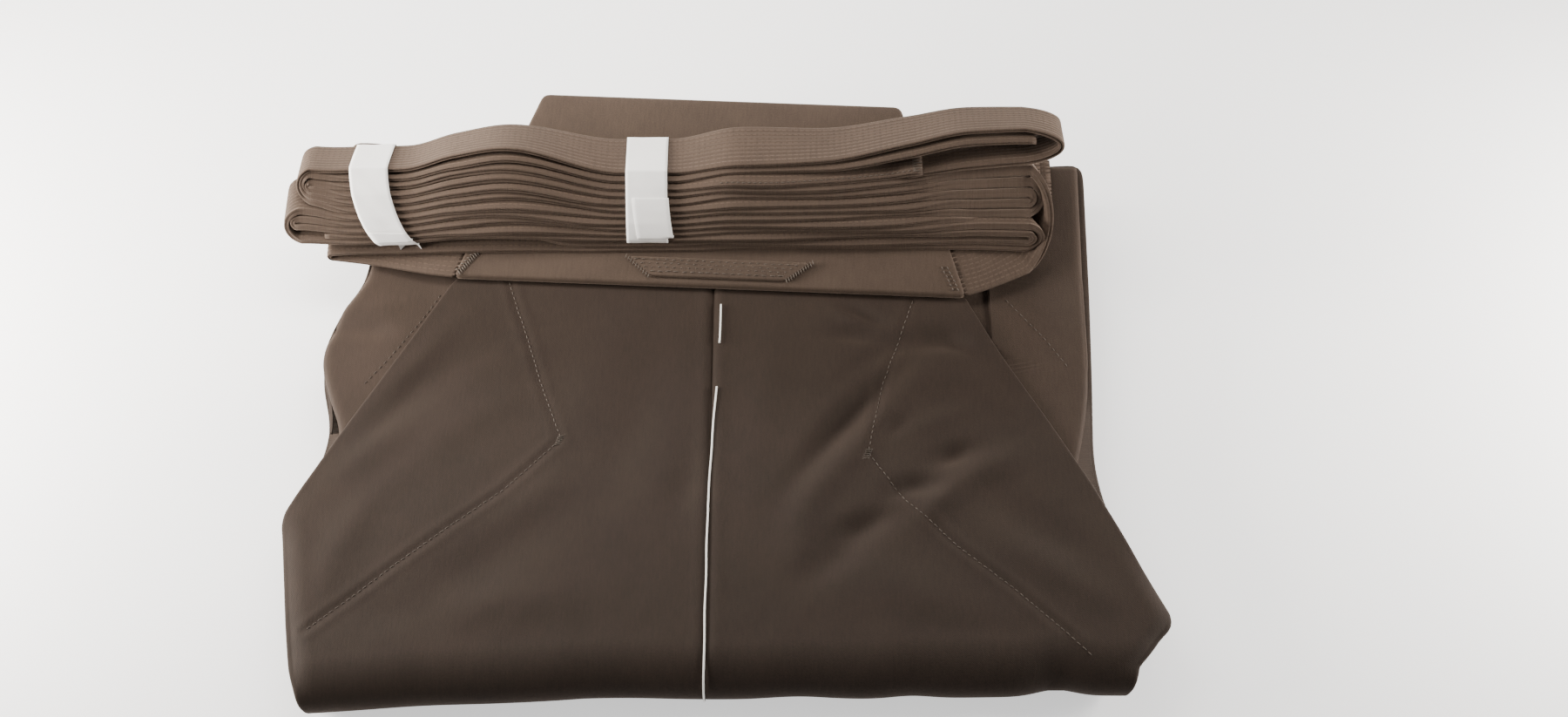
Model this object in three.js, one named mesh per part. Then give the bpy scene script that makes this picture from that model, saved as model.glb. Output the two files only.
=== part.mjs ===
// A men's divided hakama, folded for the shop: the legs are folded up under the waist, the back lies
// uppermost with its stiff back board, and the four quilted ties are folded to and fro into one bundle
// that lies across the board, held by two paper bands.
// Millimetres. X runs along the bundle, Y from the near fold towards the waist, Z is up.
// Until it is centred at the end, x = 0 is the centre back seam and y = 0 the foot of the back board.
import * as THREE from "three";

const { clamp, degToRad, lerp } = THREE.MathUtils;

// Cloth and clearances
const CLOTH = 2.0; // a panel, which is two plies where it is hemmed or pleated
const TIE = 1.8; // a quilted tie
const WAIST_TIE = 3.0; // the tie where it binds the top of the front
const PAPER = 0.8;
const SEAM_GAP = 0.3;
const PANEL_GAP = 0.35; // between panels that lie on each other
const HOLLOW = 1.6; // the hidden layers dip this far towards their middle

// Folded legs
const NEAR_HEIGHT = 21.5;
const SEAT_HEIGHT = 26.5; // at the foot of the back board
const PLEAT_START = 8; // from here to the waist, the pleats thicken the pile
const PLEAT_SLOPE = 0.12;
const NEAR_EDGE = -240;
const NEAR_CORNERS = { from: 60, to: 200, left: 8, right: -2 }; // how much nearer the corners come
const WAIST_EDGE = 85;

// Back board
const BOARD = { foot: 280, head: 202, height: 117, thickness: 5, tilt: 12, turn: -2.8, x: -2.5, y: -1.7 };
const STAY = {
  headLeft: -46,
  headRight: 56,
  footLeft: -33,
  footRight: 42,
  low: 3,
  high: 15.5,
  thickness: 1.6,
};

// Ties
const FRONT_TIE_WIDTH = 25;
const BACK_TIE_WIDTH = 29;
const LEFT_LOW = -225; // where the ties turn back: the lower and the upper ones on the left, and the right
const LEFT_HIGH = -219;
const RIGHT_FOLDS = 172;
const INNER_FOLDS = 171; // the folds on the right that the right back tie goes round
const FOLD_SKEW = 20; // how much further left than its near edge a fold on the right lies at its far edge
const FOLD_SKEW_START = 128;
const RUN_STEP = 13;
const TOP_LEVEL = 12;
const SHELF_LEVEL = 10; // the highest level that lies straight at the right end
const BACK_TIE_LEVELS = [0, 3, 9, 10];
const BAND_LEVEL = 2; // the lowest level inside the paper bands
const BAND_ROOM = 1.2; // extra space under it

const COLOURS = { cloth: 0x3f342c, tie: 0x44382f, board: 0x43372e, paper: 0xf2f0ea };

// Side edges of the folded legs, from the waist to the near fold
const LEFT_PILE = [
  { y: 84, x: -192, round: 8 },
  { y: 10, x: -192, round: 16 },
  { y: -12, x: -204, round: 14 },
  { y: -44, x: -213, round: 20 },
  { y: -92, x: -199, round: 22 },
  { y: -143, x: -214, round: 14 },
  { y: -248, x: -199, round: 14 },
  { y: -240, x: -60, round: 40 },
];
const RIGHT_PILE = [
  { y: WAIST_EDGE, x: 207, round: 8 },
  { y: -43, x: 204, round: 40 },
  { y: -118, x: 199, round: 24 },
  { y: -199, x: 226, round: 10 },
  { y: -238, x: 198, round: 12 },
  { y: -238, x: 60, round: 40 },
];

// Outer edges of the back panels: from the board down the slanted hip opening, then the folded side
const LEFT_BACK = [
  { y: 10, x: -137 },
  { y: 5, x: -142 },
  { y: -39, x: -164 },
  { y: -98, x: -195 },
  { y: -143, x: -218 },
  { y: -200, x: -208.5 },
  { y: -234, x: -202 },
];
const RIGHT_BACK = [
  { y: 10, x: 130 },
  { y: -8, x: 137 },
  { y: -42, x: 153 },
  { y: -123, x: 196 },
  { y: -170, x: 217 },
  { y: -203, x: 232 },
  { y: -227, x: 211 },
];

// The leaves of the folded legs, from the table up: share of the height, and how far each edge sits in
const LEAVES = [
  { share: 0.2, inset: 2.6, wave: 1.4, turns: 3, phase: 0.4 },
  { share: 0.18, inset: 0.8, wave: 0.7, turns: 5, phase: 2.1 },
  { share: 0.16, inset: 3.6, wave: 1.6, turns: 4, phase: 4.0 },
  { share: 0.18, inset: 1.6, wave: 1.0, turns: 7, phase: 1.2 },
  { share: 0.13, inset: 4.2, wave: 1.8, turns: 3, phase: 5.3 },
  { share: 0.15, inset: 1.0, wave: 0.6, turns: 5, phase: 3.1 },
];

// Soft folds of the back panels: a ridge (or a trough, if rise is below 0) along a line
const FOLDS = [
  { x: 88, y: -30, length: 34, width: 9, angle: 118, rise: 2.2 },
  { x: 70, y: -62, length: 46, width: 13, angle: 62, rise: 1.8 },
  { x: 112, y: -104, length: 40, width: 9, angle: 24, rise: 2.4 },
  { x: 132, y: -132, length: 56, width: 14, angle: -32, rise: 1.8 },
  { x: 92, y: -150, length: 60, width: 16, angle: 68, rise: 1.6 },
  { x: -96, y: -66, length: 70, width: 18, angle: 52, rise: 1.6 },
  { x: -150, y: -116, length: 70, width: 16, angle: 40, rise: 1.8 },
  { x: -60, y: -176, length: 90, width: 20, angle: 12, rise: 1.2 },
  { x: 60, y: -200, length: 90, width: 16, angle: -8, rise: 1.6 },
  { x: -176, y: -10, length: 30, width: 8, angle: 10, rise: 1.4 },
];

// The bundle along its length. topY, topZ and topRoll place the front edge of the highest tie, footZ
// that of the lowest, and shelfZ that of level 10. A roll above 0 lifts the far edge.
const BUNDLE = [
  { x: -235, topY: 45, topZ: 79.5, topRoll: -18, shelfZ: 72.3, footZ: 37.2 },
  { x: -202, topY: 44.5, topZ: 76.5, topRoll: -18, shelfZ: 70.3, footZ: 38.2 },
  { x: -168, topY: 44.5, topZ: 77.5, topRoll: -18, shelfZ: 71.3, footZ: 39.2 },
  { x: -140, topY: 46, topZ: 86.5, topRoll: -18, shelfZ: 79, footZ: 40.6 },
  { x: -112, topY: 47, topZ: 91.5, topRoll: -17, shelfZ: 83.5, footZ: 41.3 },
  { x: -50, topY: 42, topZ: 77.5, topRoll: -2, shelfZ: 71.7, footZ: 41.8 },
  { x: -22, topY: 42, topZ: 77.5, topRoll: -1, shelfZ: 71.7, footZ: 42 },
  { x: 14, topY: 40, topZ: 86, topRoll: 7, shelfZ: 79, footZ: 42.4 },
  { x: 60, topY: 42, topZ: 87, topRoll: -3, shelfZ: 78.5, footZ: 43 },
  { x: 105, topY: 49, topZ: 92.5, topRoll: -11, shelfZ: 79, footZ: 43.6 },
  { x: 138, topY: 55, topZ: 96, topRoll: -16, shelfZ: 81, footZ: 43.8 },
  { x: 190, topY: 58, topZ: 95, topRoll: -20, shelfZ: 83, footZ: 41.4 },
];
const FOOT_Y = 17.5;
const FOOT_ROLL = 12;

// Waist of the front, where the front tie binds it, and the ways of the ties into the bundle
const WAIST = { left: -186, right: 188, y: 59.5, roll: 7 };
const TAIL_END = 116; // the free end of the left front tie, under its own loop
const RIGHT_BACK_TIE_END = 113;
const LEFT_BACK_FOLD = -209; // where the left back tie first turns
const RIGHT_FRONT_TIE_END = 174;
const UNDER_BOARD_TURN = 50; // where the right front tie turns back under the board
const LOOP_START = 168; // the open loop on top, and how far it stands out
const LOOP_REACH = 20;
const CUFF_REACH = 11.5; // how far the right back tie stands out where it rises round the bundle
const PARTED = 3.6; // from the highest tie to the next where the loop stands open

// Value of a table at a position, easing from row to row.
function eased(rows, key, position, name) {
  const sorted = [...rows].sort((a, b) => a[key] - b[key]);
  if (position <= sorted[0][key]) return sorted[0][name];
  for (let i = 1; i < sorted.length; i++) {
    const [low, high] = [sorted[i - 1], sorted[i]];
    if (position > high[key]) continue;
    const share = (position - low[key]) / (high[key] - low[key]);
    return lerp(low[name], high[name], share * share * (3 - 2 * share));
  }
  return sorted.at(-1)[name];
}

function straight(rows, key, position, name) {
  const sorted = [...rows].sort((a, b) => a[key] - b[key]);
  if (position <= sorted[0][key]) return sorted[0][name];
  for (let i = 1; i < sorted.length; i++) {
    const [low, high] = [sorted[i - 1], sorted[i]];
    if (position > high[key]) continue;
    return lerp(low[name], high[name], (position - low[key]) / (high[key] - low[key]));
  }
  return sorted.at(-1)[name];
}

const smooth = (value, from, to) => THREE.MathUtils.smoothstep(value, from, to);

// A closed geometry from points and triangles, turned so that its faces point out.
function closed(points, triangles) {
  const volume = triangles.reduce((sum, [a, b, c]) => {
    const [p, q, r] = [points[a], points[b], points[c]];
    return sum + p.dot(new THREE.Vector3().crossVectors(q, r));
  }, 0);
  const faces = volume < 0 ? triangles.map(([a, b, c]) => [a, c, b]) : triangles;
  const geometry = new THREE.BufferGeometry().setFromPoints(points);
  geometry.setIndex(faces.flat());
  geometry.computeVertexNormals();
  return geometry;
}

const quad = (a, b, c, d) => [
  [a, b, c],
  [a, c, d],
];

// A wall between two equal grids of points, closed along its four edges.
function wall(outer, inner) {
  const rows = outer.length;
  const columns = outer[0].length;
  const points = [...outer.flat(), ...inner.flat()];
  const at = (r, c) => r * columns + c;
  const under = (r, c) => rows * columns + at(r, c);
  const triangles = [];
  for (let r = 0; r < rows - 1; r++)
    for (let c = 0; c < columns - 1; c++) {
      triangles.push(...quad(at(r, c), at(r, c + 1), at(r + 1, c + 1), at(r + 1, c)));
      triangles.push(...quad(under(r, c), under(r + 1, c), under(r + 1, c + 1), under(r, c + 1)));
    }
  for (let c = 0; c < columns - 1; c++) {
    triangles.push(...quad(at(0, c), under(0, c), under(0, c + 1), at(0, c + 1)));
    const last = rows - 1;
    triangles.push(...quad(at(last, c), at(last, c + 1), under(last, c + 1), under(last, c)));
  }
  for (let r = 0; r < rows - 1; r++) {
    triangles.push(...quad(at(r, 0), at(r + 1, 0), under(r + 1, 0), under(r, 0)));
    const last = columns - 1;
    triangles.push(...quad(at(r, last), under(r, last), under(r + 1, last), at(r + 1, last)));
  }
  return closed(points, triangles);
}

// A skin through rings of equal length, each ring closed, with the two ends closed by a fan.
function rings(list) {
  const count = list[0].length;
  const points = list.flat();
  const triangles = [];
  for (let r = 0; r < list.length - 1; r++)
    for (let i = 0; i < count; i++) {
      const j = (i + 1) % count;
      triangles.push(...quad(r * count + i, r * count + j, (r + 1) * count + j, (r + 1) * count + i));
    }
  for (const end of [0, list.length - 1]) {
    const centre = list[end].reduce((sum, p) => sum.add(p), new THREE.Vector3()).divideScalar(count);
    const hub = points.push(centre) - 1;
    for (let i = 0; i < count; i++) {
      const j = (i + 1) % count;
      const [a, b] = [end * count + i, end * count + j];
      triangles.push(end ? [hub, a, b] : [hub, b, a]);
    }
  }
  return closed(points, triangles);
}

// Height of the folded legs, under the panels.
function pileHeight(y) {
  if (y > PLEAT_START) return SEAT_HEIGHT + PLEAT_SLOPE * (y - PLEAT_START);
  return lerp(SEAT_HEIGHT, NEAR_HEIGHT, clamp(y / NEAR_EDGE, 0, 1));
}

const frontTop = (y) => pileHeight(y) + PANEL_GAP + CLOTH;
const backTop = (y) => frontTop(y) + PANEL_GAP + CLOTH;

function nearEdge(x) {
  const { from, to, left, right } = NEAR_CORNERS;
  return NEAR_EDGE - (x < 0 ? left : right) * clamp((Math.abs(x) - from) / (to - from), 0, 1);
}

// Outline of the folded legs seen from above, as points at even distances.
function pileOutline(count) {
  const corners = [...RIGHT_PILE, ...LEFT_PILE.slice().reverse()];
  const shape = new THREE.Shape();
  corners.forEach((corner, i) => {
    const here = new THREE.Vector2(corner.x, corner.y);
    const towards = (other) => {
      const to = new THREE.Vector2(other.x, other.y).sub(here);
      return here.clone().add(to.setLength(Math.min(corner.round, to.length() / 2)));
    };
    const before = towards(corners.at(i - 1));
    const after = towards(corners[(i + 1) % corners.length]);
    if (i) shape.lineTo(before.x, before.y);
    else shape.moveTo(before.x, before.y);
    shape.quadraticCurveTo(here.x, here.y, after.x, after.y);
  });
  shape.closePath();
  return shape.getSpacedPoints(count).slice(0, count);
}

// How far the near fold of the folded legs sits in at a height, inside the panels that wrap it.
function nearFoldInset(z) {
  const middle = backTop(NEAR_EDGE) / 2;
  const room = CLOTH + SEAM_GAP + 0.6;
  const radius = middle - room;
  const off = Math.abs(z - middle);
  if (off >= radius) return room + radius + (off - radius) * 1.3;
  return room + radius - Math.sqrt(radius * radius - off * off);
}

// The hidden layers: both legs folded in three, with the edges of their pleats showing as leaves.
function foldedLegs() {
  const count = 76;
  const outline = pileOutline(count);
  const inward = outline.map((point, i) => {
    const along = outline[(i + 1) % count].clone().sub(outline.at(i - 1));
    return new THREE.Vector2(along.y, -along.x).normalize();
  });
  const ringAt = (share, insetOf) =>
    outline.map((point, i) => {
      const near = smooth(inward[i].y, 0.25, 0.85);
      const inset = lerp(insetOf(i / count), nearFoldInset(share * pileHeight(point.y)), near);
      const moved = point.clone().addScaledVector(inward[i], inset);
      return new THREE.Vector3(moved.x, moved.y, share * pileHeight(moved.y));
    });
  const list = [];
  let share = 0;
  for (const leaf of LEAVES) {
    const edge = (at) => leaf.inset + leaf.wave * Math.sin(2 * Math.PI * leaf.turns * at + leaf.phase);
    const groove = 1.7;
    list.push(ringAt(share, (at) => edge(at) + groove));
    list.push(ringAt(share + 0.28 * leaf.share, edge));
    list.push(ringAt(share + 0.74 * leaf.share, edge));
    share += leaf.share;
  }
  list.push(ringAt(1, () => 3.4));
  const middle = new THREE.Vector2(0, (NEAR_EDGE + WAIST_EDGE) / 2);
  const rim = list.at(-1);
  for (const scale of [0.72, 0.42, 0.14])
    list.push(
      rim.map((p) => {
        const y = lerp(middle.y, p.y, scale);
        return new THREE.Vector3(lerp(middle.x, p.x, scale), y, pileHeight(y) - HOLLOW);
      }),
    );
  return rings(list);
}

// Sum of the soft folds at a point.
function foldRise(x, y) {
  return FOLDS.reduce((sum, fold) => {
    const angle = degToRad(fold.angle);
    const along = (x - fold.x) * Math.cos(angle) + (y - fold.y) * Math.sin(angle);
    const across = (y - fold.y) * Math.cos(angle) - (x - fold.x) * Math.sin(angle);
    return sum + fold.rise * Math.exp(-((along / fold.length) ** 2) * 4 - (across / fold.width) ** 2);
  }, 0);
}

// Points of the inner face of a wall, from its outer ones and the direction it faces.
function backed(outer, thickness, facing) {
  const rows = outer.length;
  const columns = outer[0].length;
  return outer.map((row, r) =>
    row.map((point, c) => {
      const across = outer[r][Math.min(c + 1, columns - 1)].clone().sub(outer[r][Math.max(c - 1, 0)]);
      const along = outer[Math.min(r + 1, rows - 1)][c].clone().sub(outer[Math.max(r - 1, 0)][c]);
      const normal = across.cross(along).normalize();
      return point.clone().addScaledVector(normal, -thickness * facing);
    }),
  );
}

// The line along the foot of the board.
const boardFoot = (x) => BOARD.y + (x - BOARD.x) * Math.tan(degToRad(BOARD.turn));

// One back panel, from the foot of the board down over the pile and round the near fold.
function backPanel(side) {
  const edge = side < 0 ? LEFT_BACK : RIGHT_BACK;
  const columns = 14;
  const rowsOnTop = 22;
  const rowsRound = 7;
  const tuck = 1.2; // under the board
  const droop = 3;
  const droopWidth = 10;
  const lastAngle = degToRad(163);
  const radius = backTop(NEAR_EDGE) / 2;
  const hip = edge[4].y;
  const outer = [];
  for (let r = 0; r <= rowsOnTop + rowsRound; r++) {
    const share = Math.min(1, r / rowsOnTop);
    const angle = (lastAngle * Math.max(0, r - rowsOnTop)) / rowsRound;
    const alongSide = lerp(boardFoot(side * 140) + tuck, nearEdge(side * 200) + radius, share);
    const reach = straight(edge, "y", alongSide, "x") - side * 12 * Math.sin(angle / 2) ** 2;
    const row = [];
    for (let c = 0; c <= columns; c++) {
      const x = lerp((side * SEAM_GAP) / 2, reach, c / columns);
      const foldStart = nearEdge(x) + radius;
      const y = lerp(boardFoot(x) + tuck, foldStart, share);
      const fromEdge = Math.abs(reach - x);
      const down = droop * smooth(hip + 20 - y, 0, 40) * Math.max(0, 1 - fromEdge / droopWidth) ** 2;
      if (r <= rowsOnTop) {
        const lying = smooth(fromEdge, 0, 24) * smooth(-y, 4, 20) * smooth(y - foldStart, 0, 26);
        row.push(new THREE.Vector3(x, y, backTop(y) + foldRise(x, y) * lying - down));
      } else {
        const bulge = radius - down * Math.cos(angle / 2) ** 2;
        row.push(new THREE.Vector3(x, foldStart - bulge * Math.sin(angle), radius + bulge * Math.cos(angle)));
      }
    }
    outer.push(row);
  }
  return wall(outer, backed(outer, CLOTH, -side));
}

// One half of the front, which lies under the back and shows in the hip opening and at the waist.
function frontPanel(side) {
  const edge = side < 0 ? LEFT_PILE : RIGHT_PILE;
  const columns = 10;
  const rows = 18;
  const inset = 5;
  const nearEnd = -206;
  const outer = [];
  for (let r = 0; r <= rows; r++) {
    const y = lerp(WAIST_EDGE - 4, nearEnd, r / rows);
    const reach = eased(edge, "y", y, "x") - side * (inset + 12 * smooth(-y, 60, 165));
    const row = [];
    for (let c = 0; c <= columns; c++) {
      const x = lerp((side * SEAM_GAP) / 2, reach, c / columns);
      row.push(new THREE.Vector3(x, y, frontTop(y)));
    }
    outer.push(row);
  }
  return wall(outer, backed(outer, CLOTH, -side));
}

// The tie that binds the top of the front, and its folded-over seam.
function waistTie() {
  const steps = 16;
  const path = [];
  for (let i = 0; i <= steps; i++) {
    const x = lerp(WAIST.left, WAIST.right, i / steps);
    path.push({ x, y: WAIST.y, z: frontTop(WAIST.y) + SEAM_GAP + WAIST_TIE / 2 + 0.1, roll: WAIST.roll });
  }
  return ribbon(path, FRONT_TIE_WIDTH - 0.5, WAIST_TIE);
}

// A flat tie along a path of its front edge. Each point may roll, may yaw to the left, and may skew the far
// edge along x.
function ribbon(path, width, thickness) {
  const points = path.map((p) => new THREE.Vector3(p.x, p.y, p.z));
  const sections = points.map((point, i) => {
    const tangent = points[Math.min(i + 1, points.length - 1)].clone().sub(points[Math.max(i - 1, 0)]);
    tangent.normalize();
    const roll = degToRad(path[i].roll);
    const yaw = degToRad(path[i].yaw ?? 0);
    const across = new THREE.Vector3(
      -Math.sin(yaw) * Math.cos(roll),
      Math.cos(yaw) * Math.cos(roll),
      Math.sin(roll),
    );
    const up = new THREE.Vector3().crossVectors(tangent, across).setLength(thickness / 2);
    const far = point.clone().addScaledVector(across, width);
    far.x += path[i].skew ?? 0;
    return [point.clone().add(up), far.clone().add(up), far.clone().sub(up), point.clone().sub(up)];
  });
  return rings(sections);
}

// Front edge of a tie of the bundle at a level, counted from 0 at the foot.
function bundlePoint(level, x) {
  const value = (name) => eased(BUNDLE, "x", x, name);
  const room = level >= BAND_LEVEL ? BAND_ROOM : 0;
  const top = value("topZ");
  const shelf = value("shelfZ");
  const under = Math.max((top + shelf) / 2, top - PARTED); // the top two lie close where the loop is open
  let z = lerp(value("footZ"), shelf - BAND_ROOM, level / SHELF_LEVEL) + room;
  if (level > SHELF_LEVEL) z = level === TOP_LEVEL ? top : under;
  const share = level / TOP_LEVEL;
  return {
    x,
    y: lerp(FOOT_Y, value("topY"), share ** 1.7),
    z,
    roll: lerp(FOOT_ROLL, value("topRoll"), share ** 1.4),
    skew: level < SHELF_LEVEL ? -FOLD_SKEW * Math.min(1, Math.max(0, (x - FOLD_SKEW_START) / (RIGHT_FOLDS - FOLD_SKEW_START))) : 0,
  };
}

// A straight run of a level between two places, with the same places along it on every level.
function run(level, from, to) {
  const low = Math.min(from, to);
  const high = Math.max(from, to);
  const places = [low];
  for (let x = Math.ceil((low + 2) / RUN_STEP) * RUN_STEP; x < high - 2; x += RUN_STEP) places.push(x);
  places.push(high);
  if (from > to) places.reverse();
  return places.map((x) => bundlePoint(level, x));
}

// A half turn from one point to another, bulging to the left (-1) or to the right (1). It reaches as far as it
// is high, unless a reach is given, and its back edge may yaw inwards.
function turn(from, to, side, { reach, yaw = 0 } = {}) {
  const steps = Math.abs(to.z - from.z) > 11 ? 9 : 6;
  const middle = (from.z + to.z) / 2;
  const radius = (to.z - from.z) / 2;
  const points = [];
  for (let i = 1; i < steps; i++) {
    const share = i / steps;
    const angle = Math.PI * share;
    points.push({
      x: lerp(from.x, to.x, share) + side * (reach ?? Math.abs(radius)) * Math.sin(angle),
      y: lerp(from.y, to.y, share),
      z: middle - radius * Math.cos(angle),
      roll: lerp(from.roll, to.roll, share),
      skew: lerp(from.skew ?? 0, to.skew ?? 0, share),
      yaw: yaw * Math.sin(angle),
    });
  }
  return points;
}

// Joins stretches of a tie, each a list of points, by turns to the given sides. Some turns have their own shape.
function folded(stretches, sides, shapes = {}) {
  const path = [...stretches[0]];
  for (let i = 1; i < stretches.length; i++) {
    path.push(...turn(path.at(-1), stretches[i][0], sides[i - 1], shapes[i]));
    path.push(...stretches[i]);
  }
  return path;
}

// A run that starts behind the bundle, over the waist, and slants forward to its place on the way.
function slantedRun(level, from, to, settled) {
  return run(level, from, to).map((p) => {
    const share = Math.sign(from - settled) * (p.x - settled) > 0 ? (p.x - settled) / (from - settled) : 0;
    const roll = degToRad(p.roll);
    const shift = (smooth(share, 0, 1) * (WAIST.y - p.y)) / Math.cos(roll);
    return { ...p, y: p.y + shift * Math.cos(roll), z: p.z + shift * Math.sin(roll) };
  });
}

// A stretch along the waist, in a layer over the waist tie.
function waistRun(from, to, layer) {
  const start = frontTop(WAIST.y) + SEAM_GAP + WAIST_TIE + PANEL_GAP + TIE / 2;
  const steps = 7;
  const points = [];
  for (let i = 0; i <= steps; i++) {
    const z = start + layer * (TIE + PANEL_GAP);
    points.push({ x: lerp(from, to, i / steps), y: WAIST.y, z, roll: WAIST.roll });
  }
  return points;
}

function leftBackTie() {
  const entry = [
    { x: -142.7, y: 4.9, z: 34.6, roll: 11, skew: 11.2 },
    { x: -151, y: 6.2, z: 34.2, roll: 10, skew: 5 },
    { x: -166, y: 9.6, z: 33.4, roll: 9 },
    { x: -186, y: 14, z: 33.2, roll: 9 },
    { x: LEFT_BACK_FOLD, y: FOOT_Y, z: 33.4, roll: 9 },
  ];
  const stretches = [entry, run(0, LEFT_BACK_FOLD, INNER_FOLDS), run(3, INNER_FOLDS, -212)];
  return ribbon(folded(stretches, [-1, 1]), BACK_TIE_WIDTH, TIE);
}

function rightBackTie() {
  const entry = [
    { x: 137.7, y: -8.2, z: 34.6, roll: 11, skew: -8 },
    { x: 146, y: -5.2, z: 35, roll: 10.5, skew: -5 },
    { x: 157, y: -0.6, z: 35.6, roll: 10, skew: -10 },
    { x: RIGHT_FOLDS, y: 6, z: 36.8, roll: 9, skew: -FOLD_SKEW },
  ];
  const stretches = [entry, run(9, RIGHT_FOLDS, LEFT_HIGH), run(10, LEFT_HIGH, RIGHT_BACK_TIE_END)];
  return ribbon(folded(stretches, [1, -1], { 1: { reach: CUFF_REACH } }), BACK_TIE_WIDTH, TIE);
}

function rightFrontTie() {
  const stretches = [
    waistRun(WAIST.right - 6, UNDER_BOARD_TURN, 0),
    waistRun(UNDER_BOARD_TURN, RIGHT_FOLDS, 1),
    slantedRun(4, RIGHT_FOLDS, LEFT_LOW, 60),
    run(5, LEFT_LOW, INNER_FOLDS),
    run(8, INNER_FOLDS, LEFT_HIGH),
    run(11, LEFT_HIGH, RIGHT_FRONT_TIE_END),
  ];
  return ribbon(folded(stretches, [-1, 1, -1, 1, -1]), FRONT_TIE_WIDTH, TIE);
}

function leftFrontTie() {
  const stretches = [
    waistRun(WAIST.left + 8, WAIST.left - 12, 0),
    slantedRun(1, WAIST.left - 12, INNER_FOLDS, -70),
    run(2, INNER_FOLDS, LEFT_LOW),
    run(6, LEFT_LOW, INNER_FOLDS),
    run(7, INNER_FOLDS, LEFT_HIGH),
    run(TOP_LEVEL, LEFT_HIGH, LOOP_START),
    run(SHELF_LEVEL, LOOP_START, TAIL_END),
  ];
  const sides = [-1, 1, -1, 1, -1, 1];
  return ribbon(folded(stretches, sides, { 6: { reach: LOOP_REACH } }), FRONT_TIE_WIDTH, TIE);
}

// A paper band round the bundle. It leans along x by lean, from the highest tie to its lowest.
function paperBand(centre, width, lean) {
  const clearance = 0.85;
  const directions = 28;
  const cornersAt = (place) => {
    const corners = [];
    for (let level = BAND_LEVEL; level <= TOP_LEVEL; level++) {
      const x = place + (lean * (TOP_LEVEL - level)) / (TOP_LEVEL - BAND_LEVEL);
      const p = bundlePoint(level, x);
      const roll = degToRad(p.roll);
      const reach = BACK_TIE_LEVELS.includes(level) ? BACK_TIE_WIDTH : FRONT_TIE_WIDTH;
      for (const along of [0, reach])
        for (const up of [-TIE / 2, TIE / 2]) {
          const y = p.y + along * Math.cos(roll) - up * Math.sin(roll);
          corners.push(new THREE.Vector3(x, y, p.z + along * Math.sin(roll) + up * Math.cos(roll)));
        }
    }
    return corners;
  };
  const loopAt = (place, out) => {
    const corners = cornersAt(place);
    const loop = [];
    for (let i = 0; i < directions; i++) {
      const angle = (2 * Math.PI * (i + 0.5)) / directions;
      const facing = new THREE.Vector3(0, Math.cos(angle), Math.sin(angle));
      const furthest = corners.reduce((best, c) => (c.dot(facing) > best.dot(facing) ? c : best));
      loop.push(furthest.clone().addScaledVector(facing, out));
    }
    return loop;
  };
  const places = [-0.5, -0.17, 0.17, 0.5].map((share) => centre + share * width);
  const outside = places.map((place) => loopAt(place, clearance + PAPER));
  const inside = places.map((place) => loopAt(place, clearance));
  return tube(outside, inside);
}

// A short tube between an outer and an inner set of rings, open through the middle.
function tube(outside, inside) {
  const loops = [...outside, ...inside.slice().reverse()];
  const count = loops[0].length;
  const points = loops.flat();
  const triangles = [];
  for (let r = 0; r < loops.length; r++)
    for (let i = 0; i < count; i++) {
      const next = (r + 1) % loops.length;
      const j = (i + 1) % count;
      triangles.push(...quad(r * count + i, r * count + j, next * count + j, next * count + i));
    }
  return closed(points, triangles);
}

// A flat plate with softened corners and edges, from its four corners, lying on z = 0.
function plate(corners, round, thickness) {
  const bevel = Math.min(1.2, thickness / 3);
  const shape = new THREE.Shape();
  corners.forEach(([x, y], i) => {
    const here = new THREE.Vector2(x, y);
    const towards = (other) => here.clone().add(new THREE.Vector2(...other).sub(here).setLength(round));
    const before = towards(corners.at(i - 1));
    const after = towards(corners[(i + 1) % corners.length]);
    if (i) shape.lineTo(before.x, before.y);
    else shape.moveTo(before.x, before.y);
    shape.quadraticCurveTo(here.x, here.y, after.x, after.y);
  });
  const outline = shape.getPoints(4);
  const middle = outline.reduce((sum, p) => sum.add(p), new THREE.Vector2()).divideScalar(outline.length);
  const ringAt = (z, inset) =>
    outline.map((p) => {
      const towards = middle.clone().sub(p).setLength(inset);
      return new THREE.Vector3(p.x + towards.x, p.y + towards.y, z);
    });
  return rings([ringAt(0, bevel), ringAt(bevel, 0), ringAt(thickness - bevel, 0), ringAt(thickness, bevel)]);
}

function backBoard() {
  const { foot, head, height, thickness } = BOARD;
  const corners = [
    [-foot / 2, 0],
    [foot / 2, 0],
    [head / 2, height],
    [-head / 2, height],
  ];
  return plate(corners, 4, thickness);
}

// The quilted stay that is sewn over the middle of the board's foot, open along its lower edge.
function boardStay() {
  const corners = [
    [STAY.footLeft, STAY.low],
    [STAY.footRight, STAY.low],
    [STAY.headRight, STAY.high],
    [STAY.headLeft, STAY.high],
  ];
  return plate(corners, 1.5, STAY.thickness).translate(0, 0, BOARD.thickness + SEAM_GAP);
}

const material = (color, roughness) => new THREE.MeshStandardMaterial({ color, roughness, metalness: 0 });

function part(name, geometry, color, roughness = 0.9) {
  const mesh = new THREE.Mesh(geometry, material(color, roughness));
  mesh.name = name;
  return mesh;
}

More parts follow.
